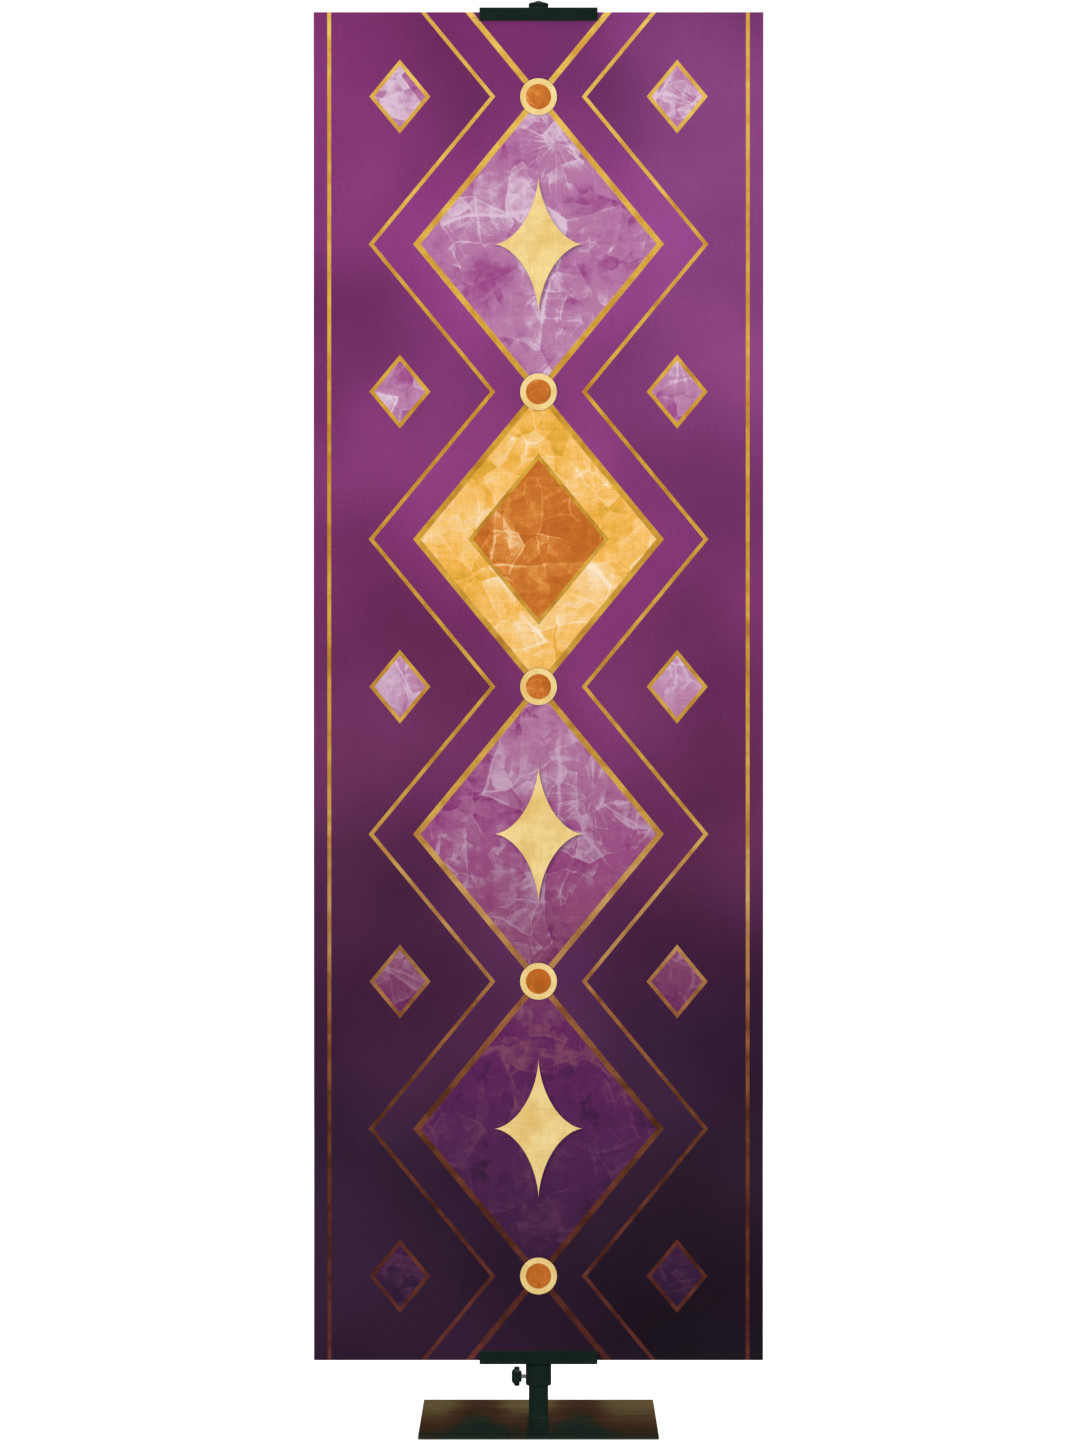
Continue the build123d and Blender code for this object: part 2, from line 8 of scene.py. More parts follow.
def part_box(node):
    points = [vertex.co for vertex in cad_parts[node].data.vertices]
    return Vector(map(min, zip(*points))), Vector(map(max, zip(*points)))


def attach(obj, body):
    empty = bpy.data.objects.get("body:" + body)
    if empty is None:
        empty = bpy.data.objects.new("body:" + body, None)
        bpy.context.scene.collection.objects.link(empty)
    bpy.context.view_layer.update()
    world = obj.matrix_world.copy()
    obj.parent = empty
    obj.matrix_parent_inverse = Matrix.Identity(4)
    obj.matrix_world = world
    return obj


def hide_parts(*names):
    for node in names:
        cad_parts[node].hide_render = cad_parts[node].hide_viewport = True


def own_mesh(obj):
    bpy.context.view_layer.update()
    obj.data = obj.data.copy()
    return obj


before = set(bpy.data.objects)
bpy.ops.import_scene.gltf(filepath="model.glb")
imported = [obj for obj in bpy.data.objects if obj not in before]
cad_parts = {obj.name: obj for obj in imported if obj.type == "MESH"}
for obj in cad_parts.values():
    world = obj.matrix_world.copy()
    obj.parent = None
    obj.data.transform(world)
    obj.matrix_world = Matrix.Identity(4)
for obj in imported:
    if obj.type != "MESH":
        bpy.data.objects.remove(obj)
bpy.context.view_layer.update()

# ---------------------------------------------------------------- sizes, in metres
BANNER_LOW, BANNER_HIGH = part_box("banner")
BANNER_WIDTH = BANNER_HIGH.x - BANNER_LOW.x
BANNER_HEIGHT = BANNER_HIGH.z - BANNER_LOW.z
CLOTH_THICK = 0.0004
CLOTH_COLUMNS = 72
CLOTH_ROWS = 216
HEM_HEIGHT = 0.009
HEM_THICK = BANNER_HIGH.y - BANNER_LOW.y
CLOTH_FACE = BANNER_LOW.y + CLOTH_THICK / 2
MIDDLE_DEPTH = (BANNER_LOW.y + BANNER_HIGH.y) / 2
SHEET_FOOT = BANNER_LOW.z + HEM_HEIGHT
SHEET_TOP = BANNER_HIGH.z - HEM_HEIGHT
SHEET_HEIGHT = SHEET_TOP - SHEET_FOOT

STITCH_LENGTH = 0.0026
STITCH_PITCH = 0.0034
STITCH_RADIUS = 0.00023
STITCH_INSET = 0.0013
STITCH_END = 0.004

THREAD_PITCH = 0.001
THREAD_CORE = 0.00245
THREAD_CREST = 0.003

JAW_SCREW_HEAD = 0.002
JAW_SCREW_SHANK = 0.0015
SET_SCREW_HEAD = 0.0024
SET_SCREW_SHANK = 0.002
HEX_RADIUS = 0.00175
HEX_DEPTH = 0.003

# how a screw's head is rounded: the share of its height, the steps, and how full the curve is
PAN_CROWN = (0.55, 5, 0.55)
SET_CROWN = (0.3, 4, 0.6)

MILLIMETRE = 0.001


# ---------------------------------------------------------------- modelling by hand
def add_primitive(kind, name, **settings):
    """A fresh primitive, alone in the selection."""
    bpy.ops.object.select_all(action="DESELECT")
    getattr(bpy.ops.mesh, f"primitive_{kind}_add")(**settings)
    piece = bpy.context.object
    piece.name = name
    piece.data.name = name
    return piece


def select_only(piece):
    """Makes a piece the active object, alone in the selection."""
    bpy.ops.object.select_all(action="DESELECT")
    piece.select_set(True)
    bpy.context.view_layer.objects.active = piece


def open_edit(piece):
    select_only(piece)
    bpy.ops.object.mode_set(mode="EDIT")
    bpy.ops.mesh.select_all(action="DESELECT")


def close_edit():
    bpy.ops.object.mode_set(mode="OBJECT")


def pick(piece, wanted, kind="FACE"):
    """In edit mode, selects only the faces, edges or vertices that pass a test."""
    bpy.ops.mesh.select_mode(type=kind)
    bpy.ops.mesh.select_all(action="DESELECT")
    mesh = bmesh.from_edit_mesh(piece.data)
    parts = {"FACE": mesh.faces, "EDGE": mesh.edges, "VERT": mesh.verts}[kind]
    for part in parts:
        part.select_set(bool(wanted(part)))
    mesh.select_flush_mode()
    bmesh.update_edit_mesh(piece.data)


def middle(edge):
    return (edge.verts[0].co + edge.verts[1].co) / 2


def settle(piece):
    """Moves the object's place, turn and size into its mesh."""
    select_only(piece)
    bpy.ops.object.transform_apply(location=True, rotation=True, scale=True)
    return piece


def with_modifier(piece, kind, **settings):
    """Adds a modifier and applies it."""
    select_only(piece)
    modifier = piece.modifiers.new(kind.lower(), kind)
    for name, value in settings.items():
        setattr(modifier, name, value)
    bpy.ops.object.modifier_apply(modifier=modifier.name)
    return piece


def face_outwards(piece):
    open_edit(piece)
    bpy.ops.mesh.select_all(action="SELECT")
    bpy.ops.mesh.remove_doubles(threshold=1e-6)
    bpy.ops.mesh.normals_make_consistent(inside=False)
    close_edit()
    return piece


def smooth(piece, angle):
    select_only(piece)
    bpy.ops.object.shade_smooth_by_angle(angle=math.radians(angle))
    return piece


def copy_of(piece, name, move):
    """A copy with its own mesh, moved."""
    select_only(piece)
    bpy.ops.object.duplicate()
    twin = bpy.context.object
    twin.name = name
    twin.data.name = name
    bpy.ops.transform.translate(value=move)
    return settle(twin)


def join(first, *others):
    select_only(first)
    for piece in others:
        piece.select_set(True)
    bpy.ops.object.join()
    return first


def cut(piece, cutter):
    """Takes one solid out of another, and removes it."""
    with_modifier(piece, "BOOLEAN", object=cutter, operation="DIFFERENCE", solver="EXACT")
    bpy.data.objects.remove(cutter)


def finish_piece(piece, body, finish, slot, *nodes):
    """Gives a piece its material and its body, and hides the CAD nodes that it stands for."""
    if finish not in piece.data.materials[:]:
        piece.data.materials.clear()
        piece.data.materials.append(finish)
    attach(piece, body)
    if nodes:
        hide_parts(*nodes)
    return piece


def feed(tree, inlet, value):
    """Joins a signal or a socket to an inlet, or sets a plain value on it."""
    if isinstance(value, Signal):
        value = value.socket
    if isinstance(value, bpy.types.NodeSocket):
        tree.links.new(value, inlet)
    else:
        inlet.default_value = value


def add(tree, kind, inputs=None, **settings):
    """A shader node with its settings, and each input a value or a joined socket."""
    made = tree.nodes.new("ShaderNode" + kind)
    for name, value in settings.items():
        setattr(made, name, value)
    for name, value in (inputs or {}).items():
        feed(tree, made.inputs[name], value)
    return made


class Signal:
    """A number that varies over a surface. Arithmetic on it adds the nodes that work it out."""

    def __init__(self, tree, socket):
        self.tree = tree
        self.socket = socket

    def math(self, operation, *others):
        made = add(self.tree, "Math", dict(enumerate((self, *others))), operation=operation)
        return Signal(self.tree, made.outputs[0])

    def __add__(self, other):
        return self.math("ADD", other)

    def __sub__(self, other):
        return self.math("SUBTRACT", other)

    def __rsub__(self, other):
        return self.math("MULTIPLY", -1.0).math("ADD", other)

    def __mul__(self, other):
        return self.math("MULTIPLY", other)

    def __truediv__(self, other):
        return self.math("DIVIDE", other)

    def __abs__(self):
        return self.math("ABSOLUTE")

    def fraction(self):
        return self.math("FRACT")

    def power(self, exponent):
        return self.math("POWER", exponent)

    def at_most(self, other):
        return self.math("MINIMUM", other)

    def at_least(self, other):
        return self.math("MAXIMUM", other)

    def above(self, level):
        return self.math("GREATER_THAN", level)

    def below(self, level):
        return self.math("LESS_THAN", level)

    def rise(self, low, high, to_low=0.0, to_high=1.0):
        """Eases from one value to another between two levels."""
        levels = {"Value": self, 1: low, 2: high, 3: to_low, 4: to_high}
        made = add(self.tree, "MapRange", levels, interpolation_type="SMOOTHSTEP")
        return Signal(self.tree, made.outputs[0])


def ink(code):
    """A linear colour from the usual six-figure screen code."""
    channels = [int(code[k:k + 2], 16) / 255 for k in (0, 2, 4)]
    linear = [c / 12.92 if c <= 0.04045 else ((c + 0.055) / 1.055) ** 2.4 for c in channels]
    return (*linear, 1.0)


def mixed(tree, share, first, second, how="MIX"):
    """Two colours mixed by a share from 0 to 1."""
    inputs = {0: share, 6: first, 7: second}
    return add(tree, "Mix", inputs, data_type="RGBA", blend_type=how).outputs[2]


def shades(tree, share, *stops):
    """A run of colours over 0 to 1, from pairs of place and colour code."""
    made = add(tree, "ValToRGB", {"Fac": share})
    marks = made.color_ramp.elements
    while len(marks) < len(stops):
        marks.new(0.5)
    for mark, (place, code) in zip(marks, stops):
        mark.position = place
        mark.color = ink(code)
    return made.outputs["Color"]


def new_group(name, inputs, outputs):
    """An empty node group with named sockets, each with its kind and, for an input, its value."""
    tree = bpy.data.node_groups.new(name, "ShaderNodeTree")
    for label, (kind, value) in inputs.items():
        socket = tree.interface.new_socket(label, in_out="INPUT", socket_type="NodeSocket" + kind)
        if value is not None:
            socket.default_value = value
    for label, kind in outputs.items():
        tree.interface.new_socket(label, in_out="OUTPUT", socket_type="NodeSocket" + kind)
    entry = tree.nodes.new("NodeGroupInput")
    leave = tree.nodes.new("NodeGroupOutput")
    return tree, entry.outputs, leave.inputs


def use(tree, group, outlet, **inputs):
    """Places a group in a material with its own values, and gives one of its outputs."""
    inputs = {label.replace("_", " "): value for label, value in inputs.items()}
    return Signal(tree, add(tree, "Group", inputs, node_tree=group).outputs[outlet])


def noise_at(tree, place, scale, detail=2.0, roughness=0.5, distortion=0.0):
    values = {"Vector": place, "Scale": scale, "Detail": detail, "Roughness": roughness,
              "Distortion": distortion}
    return Signal(tree, add(tree, "TexNoise", values).outputs["Fac"])


def stretched(tree, place, factors):
    made = add(tree, "VectorMath", {0: place, 1: factors}, operation="MULTIPLY")
    return made.outputs[0]


def new_finish(name):
    """An empty material with its principled shader, and object coordinates in metres."""
    finish = bpy.data.materials.new(name)
    finish.use_nodes = True
    tree = finish.node_tree
    shader = tree.nodes["Principled BSDF"]
    place = add(tree, "TexCoord").outputs["Object"]
    return finish, tree, shader, place


def dress(tree, shader, colour, roughness, metallic=0.0, height=None, depth=0.0, **plain):
    """Joins what varies to the shader, and sets what is the same all over on its own sockets."""
    values = {"Base Color": colour, "Roughness": roughness, "Metallic": metallic, **plain}
    if height is not None:
        bump = add(tree, "Bump", {"Height": height, "Distance": depth, "Strength": 1.0})
        values["Normal"] = bump.outputs["Normal"]
    for label, value in values.items():
        feed(tree, shader.inputs[label.replace("_", " ")], value)


# ---------------------------------------------------------------- materials: shared effects
def edge_wear_group():
    """Where a hard edge is rubbed: 1 on the edge, broken up by grain."""
    inputs = {"Place": ("Vector", None), "Reach": ("Float", 0.0006), "Amount": ("Float", 0.5)}
    tree, entry, leave = new_group("edge_wear", inputs, {"Mask": "Float"})
    rounded = add(tree, "Bevel", {"Radius": entry["Reach"]}, samples=4).outputs["Normal"]
    flat = add(tree, "NewGeometry").outputs["Normal"]
    likeness = add(tree, "VectorMath", {0: rounded, 1: flat}, operation="DOT_PRODUCT")
    sharp = Signal(tree, likeness.outputs["Value"]).rise(0.995, 0.80)
    broken = noise_at(tree, entry["Place"], 420.0, detail=4.0, roughness=0.7).rise(0.42, 0.62)
    tree.links.new((sharp * broken * Signal(tree, entry["Amount"])).socket, leave["Mask"])
    return tree


def dust_group():
    """Fine dust that has settled on what faces up."""
    inputs = {"Place": ("Vector", None), "Amount": ("Float", 0.3)}
    tree, entry, leave = new_group("settled_dust", inputs, {"Mask": "Float"})
    normal = add(tree, "NewGeometry").outputs["Normal"]
    up = Signal(tree, add(tree, "SeparateXYZ", {0: normal}).outputs["Z"]).rise(0.35, 1.0)
    patches = noise_at(tree, entry["Place"], 60.0, detail=6.0, roughness=0.65).rise(0.3, 0.75)
    tree.links.new((up * patches * Signal(tree, entry["Amount"])).socket, leave["Mask"])
    return tree


def orange_peel_group():
    """The skin of sprayed paint or moulded plastic: a low rolling height, and a faint tone."""
    inputs = {"Place": ("Vector", None), "Scale": ("Float", 900.0)}
    tree, entry, leave = new_group("orange_peel", inputs, {"Height": "Float", "Tone": "Float"})
    fine = noise_at(tree, entry["Place"], entry["Scale"], detail=2.0)
    broad = noise_at(tree, entry["Place"], 45.0, detail=3.0)
    tree.links.new((fine * 0.8 + broad * 0.2).socket, leave["Height"])
    tree.links.new((fine * 0.4 + broad * 0.6).socket, leave["Tone"])
    return tree


def hairline_group():
    """Fine scratches drawn out along one axis, which Grain gives as a stretch of the place."""
    inputs = {"Place": ("Vector", None), "Grain": ("Vector", (1, 1, 1)), "Scale": ("Float", 2500.0)}
    tree, entry, leave = new_group("hairline", inputs, {"Line": "Float"})
    drawn = stretched(tree, entry["Place"], entry["Grain"])
    fine = noise_at(tree, drawn, entry["Scale"], detail=3.0, roughness=0.6)
    tree.links.new(fine.socket, leave["Line"])
    return tree


def weave_group():
    """Plain weave from the cloth's own width and height, with slubs in both yarns."""
    inputs = {"Across": ("Float", 0.0), "Up": ("Float", 0.0), "Pitch": ("Float", 0.0009)}
    tree, entry, leave = new_group("weave", inputs, {"Height": "Float", "Tone": "Float"})
    across, up = Signal(tree, entry["Across"]), Signal(tree, entry["Up"])
    warp = (across / Signal(tree, entry["Pitch"]) * math.pi).math("SINE")
    weft = (up / Signal(tree, entry["Pitch"]) * math.pi).math("SINE")
    over = abs(warp) * 0.5 + abs(weft) * 0.5
    flat = add(tree, "CombineXYZ", {"X": across, "Y": up}).outputs[0]
    along_warp = noise_at(tree, stretched(tree, flat, (1.0, 0.04, 1.0)), 700.0, detail=3.0)
    along_weft = noise_at(tree, stretched(tree, flat, (0.04, 1.0, 1.0)), 700.0, detail=3.0)
    slub = along_warp * 0.5 + along_weft * 0.5
    tree.links.new((over * 0.6 + slub * 0.8).socket, leave["Height"])
    tree.links.new(slub.socket, leave["Tone"])
    return tree


# crushed tissue: facets to the metre, how much they tilt, how pale their creases are, and how wide
FACETS = ((9.0, 0.80, 0.30, 0.030), (21.0, 0.62, 0.24, 0.040), (47.0, 0.45, 0.10, 0.060))


def marbling_group():
    """Crushed and dyed tissue: tilted facets with pale creases, fans of fine pleats, mottling."""
    inputs = {"Place": ("Vector", None), "Seed": ("Float", 0.0)}
    tree, entry, leave = new_group("marbling", inputs, {"Light": "Float"})
    shift = add(tree, "CombineXYZ", {"X": entry["Seed"], "Y": entry["Seed"]}).outputs[0]
    place = add(tree, "VectorMath", {0: entry["Place"], 1: shift}, operation="ADD").outputs[0]
    waves = add(tree, "TexNoise", {"Vector": place, "Scale": 13.0, "Detail": 3.0}).outputs["Color"]
    bend = {0: waves, 1: (0.03, 0.03, 0.0), 2: place}
    bent = add(tree, "VectorMath", bend, operation="MULTIPLY_ADD").outputs[0]
    clouds = noise_at(tree, place, 6.0, detail=4.0, roughness=0.6, distortion=0.4)
    mottle = noise_at(tree, bent, 70.0, detail=8.0, roughness=0.8)
    light = clouds * 1.45 + mottle - 0.72
    patchy = noise_at(tree, place, 12.0, detail=2.0).rise(0.40, 0.62)
    for scale, tilt_share, crease_share, width in FACETS:
        cell = add(tree, "TexVoronoi", {"Vector": bent, "Scale": scale})
        edge = add(tree, "TexVoronoi", {"Vector": bent, "Scale": scale}, feature="DISTANCE_TO_EDGE")
        away = add(tree, "VectorMath", {0: bent, 1: cell.outputs["Position"]}, operation="SUBTRACT")
        about = {0: cell.outputs["Color"], 1: (0.5, 0.5, 0.5)}
        lean = add(tree, "VectorMath", about, operation="SUBTRACT")
        both = {0: away.outputs[0], 1: lean.outputs[0]}
        tilt = add(tree, "VectorMath", both, operation="DOT_PRODUCT")
        light = light + Signal(tree, tilt.outputs["Value"]) * (scale * tilt_share)
        crease = Signal(tree, edge.outputs["Distance"]).rise(width, 0.0)
        light = light + crease * patchy * crease_share

    # pleats that fan out from the middle of the largest facets
    knot = add(tree, "TexVoronoi", {"Vector": place, "Scale": 5.5})
    spoke = add(tree, "VectorMath", {0: place, 1: knot.outputs["Position"]}, operation="SUBTRACT")
    parts = add(tree, "SeparateXYZ", {0: spoke.outputs[0]})
    bearing = Signal(tree, parts.outputs["X"]).math("ARCTAN2", Signal(tree, parts.outputs["Y"]))
    reach = add(tree, "VectorMath", {0: spoke.outputs[0]}, operation="LENGTH").outputs["Value"]
    reach = Signal(tree, reach)
    fan = {"X": bearing * 6.0, "Y": reach * 9.0, "Z": knot.outputs["Position"]}
    turned = add(tree, "CombineXYZ", fan).outputs[0]
    pleat = noise_at(tree, turned, 1.6, detail=3.0, roughness=0.65)
    pleat = pleat.rise(0.50, 0.72) * reach.rise(0.11, 0.015)
    light = light + pleat * 0.5
    tree.links.new(light.at_least(0.0).at_most(1.0).socket, leave["Light"])
    return tree


def lozenge_group():
    """Distance outside the edge of an upright lozenge, less than nothing inside it."""
    inputs = {"Across": ("Float", 0.0), "Up": ("Float", 0.0), "Half Width": ("Float", 0.1),
              "Half Height": ("Float", 0.1)}
    tree, entry, leave = new_group("lozenge", inputs, {"Distance": "Float"})
    across, up, wide, tall = [Signal(tree, entry[label]) for label in inputs]
    slant = wide * tall / (wide * wide + tall * tall).power(0.5)
    edge = (abs(across) / wide + abs(up) / tall - 1.0) * slant
    tree.links.new(edge.socket, leave["Distance"])
    return tree


EDGE_WEAR = edge_wear_group()
DUST = dust_group()
ORANGE_PEEL = orange_peel_group()
HAIRLINE = hairline_group()
WEAVE = weave_group()
MARBLING = marbling_group()
LOZENGE = lozenge_group()


# ---------------------------------------------------------------- materials: the stand
def coated(name, dark, light, rubbed, roughness, wear=0.5, peel=900.0, gleam=0.16):
    """Sprayed or moulded black: a faint tone, rubbed edges, settled dust and a fine skin."""
    finish, tree, shader, place = new_finish(name)
    tone = use(tree, ORANGE_PEEL, "Tone", Place=place, Scale=peel)
    skin = use(tree, ORANGE_PEEL, "Height", Place=place, Scale=peel)
    worn = use(tree, EDGE_WEAR, "Mask", Place=place, Amount=wear)
    dusty = use(tree, DUST, "Mask", Place=place, Amount=0.25)
    colour = mixed(tree, tone.rise(0.35, 0.65), ink(dark), ink(light))
    colour = mixed(tree, worn, colour, ink(rubbed))
    colour = mixed(tree, dusty, colour, ink("6b6a64"))
    gloss = tone.rise(0.3, 0.7, roughness - 0.05, roughness + 0.06) + dusty * 0.3
    dress(tree, shader, colour, gloss, height=skin, depth=0.00003, Specular_IOR_Level=gleam)
    return finish


def plate_enamel_painted_reflection():
    """Gloss enamel on the base plate with a painted reflection: green-black in front, smoky red-brown and
    olive behind.
    """
    finish, tree, shader, place = new_finish("plate_enamel_painted_reflection")
    parts = add(tree, "SeparateXYZ", {0: place})
    across, deep = [Signal(tree, parts.outputs[axis]) for axis in "XY"]
    # painted reflection: a smoky tone and streaks drawn out front to back, as of a blurred room mirrored
    # in the gloss
    smoky_reflection = noise_at(tree, stretched(tree, place, (1.0, 1.6, 1.0)), 9.0, 4.0, 0.6, 0.5)
    reflection_streak = noise_at(tree, stretched(tree, place, (0.10, 1.0, 1.0)), 110.0, 4.0, 0.65)
    grain = use(tree, HAIRLINE, "Line", Place=place, Grain=(0.03, 1.0, 0.2), Scale=620.0)
    # painted reflection: two dark lobes either side of the pole, their edges wandering with the smoky
    # tone
    wander = smoky_reflection.rise(0.2, 0.8, 0.004, 0.024)
    painted_dark_reflections = abs(abs(across + wander) - 0.068).rise(0.056, 0.0)
    # painted reflection of the tube: dark in front of its foot, widening towards the front edge
    painted_tube_reflection = (abs(across) + deep * 0.0195).rise(0.0143, 0.0107) * deep.rise(0.004, -0.008)
    # painted reflection: darker at the front edge and lighter behind, with the lobes and the tube's image
    # taken out; the hairline grain is the plate's own
    painted_reflection_and_grain = deep.math("MULTIPLY_ADD", 2.8, 0.64).at_most(0.92) - painted_dark_reflections * 0.46 - painted_tube_reflection
    painted_reflection_and_grain = painted_reflection_and_grain + (smoky_reflection - 0.5) * 0.16 + (reflection_streak - 0.5) * 0.5 + (grain - 0.5) * 0.16
    colour = shades(tree, painted_reflection_and_grain, (0.02, "12241c"), (0.22, "2a2215"), (0.38, "45230f"), (0.50, "502614"),
                    (0.62, "54341d"), (0.78, "69502d"), (1.0, "7c653d"))
    worn = use(tree, EDGE_WEAR, "Mask", Place=place, Amount=0.4)
    dusty = use(tree, DUST, "Mask", Place=place, Amount=0.04)
    colour = mixed(tree, worn, colour, ink("6a6357"))
    colour = mixed(tree, dusty, colour, ink("8a877c"))
    gloss = grain.rise(0.3, 0.7, 0.14, 0.22) + dusty
    dress(tree, shader, colour, gloss, height=grain, depth=0.000003, Specular_IOR_Level=0.3)
    return finish


def bare_metal(name, dark, light, roughness, grain, metallic=1.0):
    """Bright or plated steel with drawn or turned marks along one axis."""
    finish, tree, shader, place = new_finish(name)
    line = use(tree, HAIRLINE, "Line", Place=place, Grain=grain, Scale=2500.0)
    cloud = noise_at(tree, place, 240.0, detail=3.0)
    colour = mixed(tree, line * 0.6 + cloud * 0.4, ink(dark), ink(light))
    dress(tree, shader, colour, line.rise(0.25, 0.75, roughness - 0.07, roughness + 0.1), metallic,
          line, 0.00001)
    return finish


def rubber(name, dark, light):
    """Matte rubber with a bloom and a fine pebble."""
    finish, tree, shader, place = new_finish(name)
    pebble = add(tree, "TexVoronoi", {"Vector": place, "Scale": 1400.0}).outputs["Distance"]
    bloom = noise_at(tree, place, 90.0, detail=5.0, roughness=0.7)
    colour = mixed(tree, bloom.rise(0.4, 0.75), ink(dark), ink(light))
    dress(tree, shader, colour, bloom.rise(0.2, 0.8, 0.72, 0.9), height=pebble, depth=0.00004,
          Specular_IOR_Level=0.3)
    return finish


def soft_plastic(name, dark, light, roughness):
    """Nylon or a plastic strip: faint flow marks and a slight lustre."""
    finish, tree, shader, place = new_finish(name)
    flow = noise_at(tree, place, 130.0, detail=4.0, roughness=0.6, distortion=0.8)
    skin = use(tree, ORANGE_PEEL, "Height", Place=place, Scale=1600.0)
    colour = mixed(tree, flow, ink(dark), ink(light))
    dress(tree, shader, colour, flow.rise(0.3, 0.7, roughness - 0.04, roughness + 0.06),
          height=skin, depth=0.00002, Specular_IOR_Level=0.4)
    return finish


# ---------------------------------------------------------------- materials: the printed banner
CHAIN_PITCH = 0.40
CHAIN_COUNT = 4
CHAIN_HALF_WIDTH = 0.165
CHAIN_FOOT = (BANNER_HEIGHT - CHAIN_COUNT * CHAIN_PITCH) / 2
ECHO_GAP = 0.062
GOLD_LINE = 0.0078
THIN_LINE = 0.0052
EDGE_LINE_INSET = 0.021
SOFT_EDGE = 0.0004
STAR_HALF_WIDTH = 0.060
STAR_HALF_HEIGHT = 0.094
STAR_CURVE = 0.62
ROUNDEL_RADIUS = 0.021
SIDE_LOZENGE_AT = 0.188
SIDE_HALF_WIDTH = 0.038
SIDE_HALF_HEIGHT = 0.046
AMBER_LINK = 2.0
HEART_SHARE = 0.56
CAST_SHADOW = "2a1030"


def stroke(distance, width):
    """A line of a given width along where a distance is nothing."""
    return abs(distance).rise(width / 2 + SOFT_EDGE, width / 2 - SOFT_EDGE)


def inside(distance, soft=SOFT_EDGE):
    """1 where a distance is less than nothing, with a soft edge."""
    return distance.rise(soft, -soft)


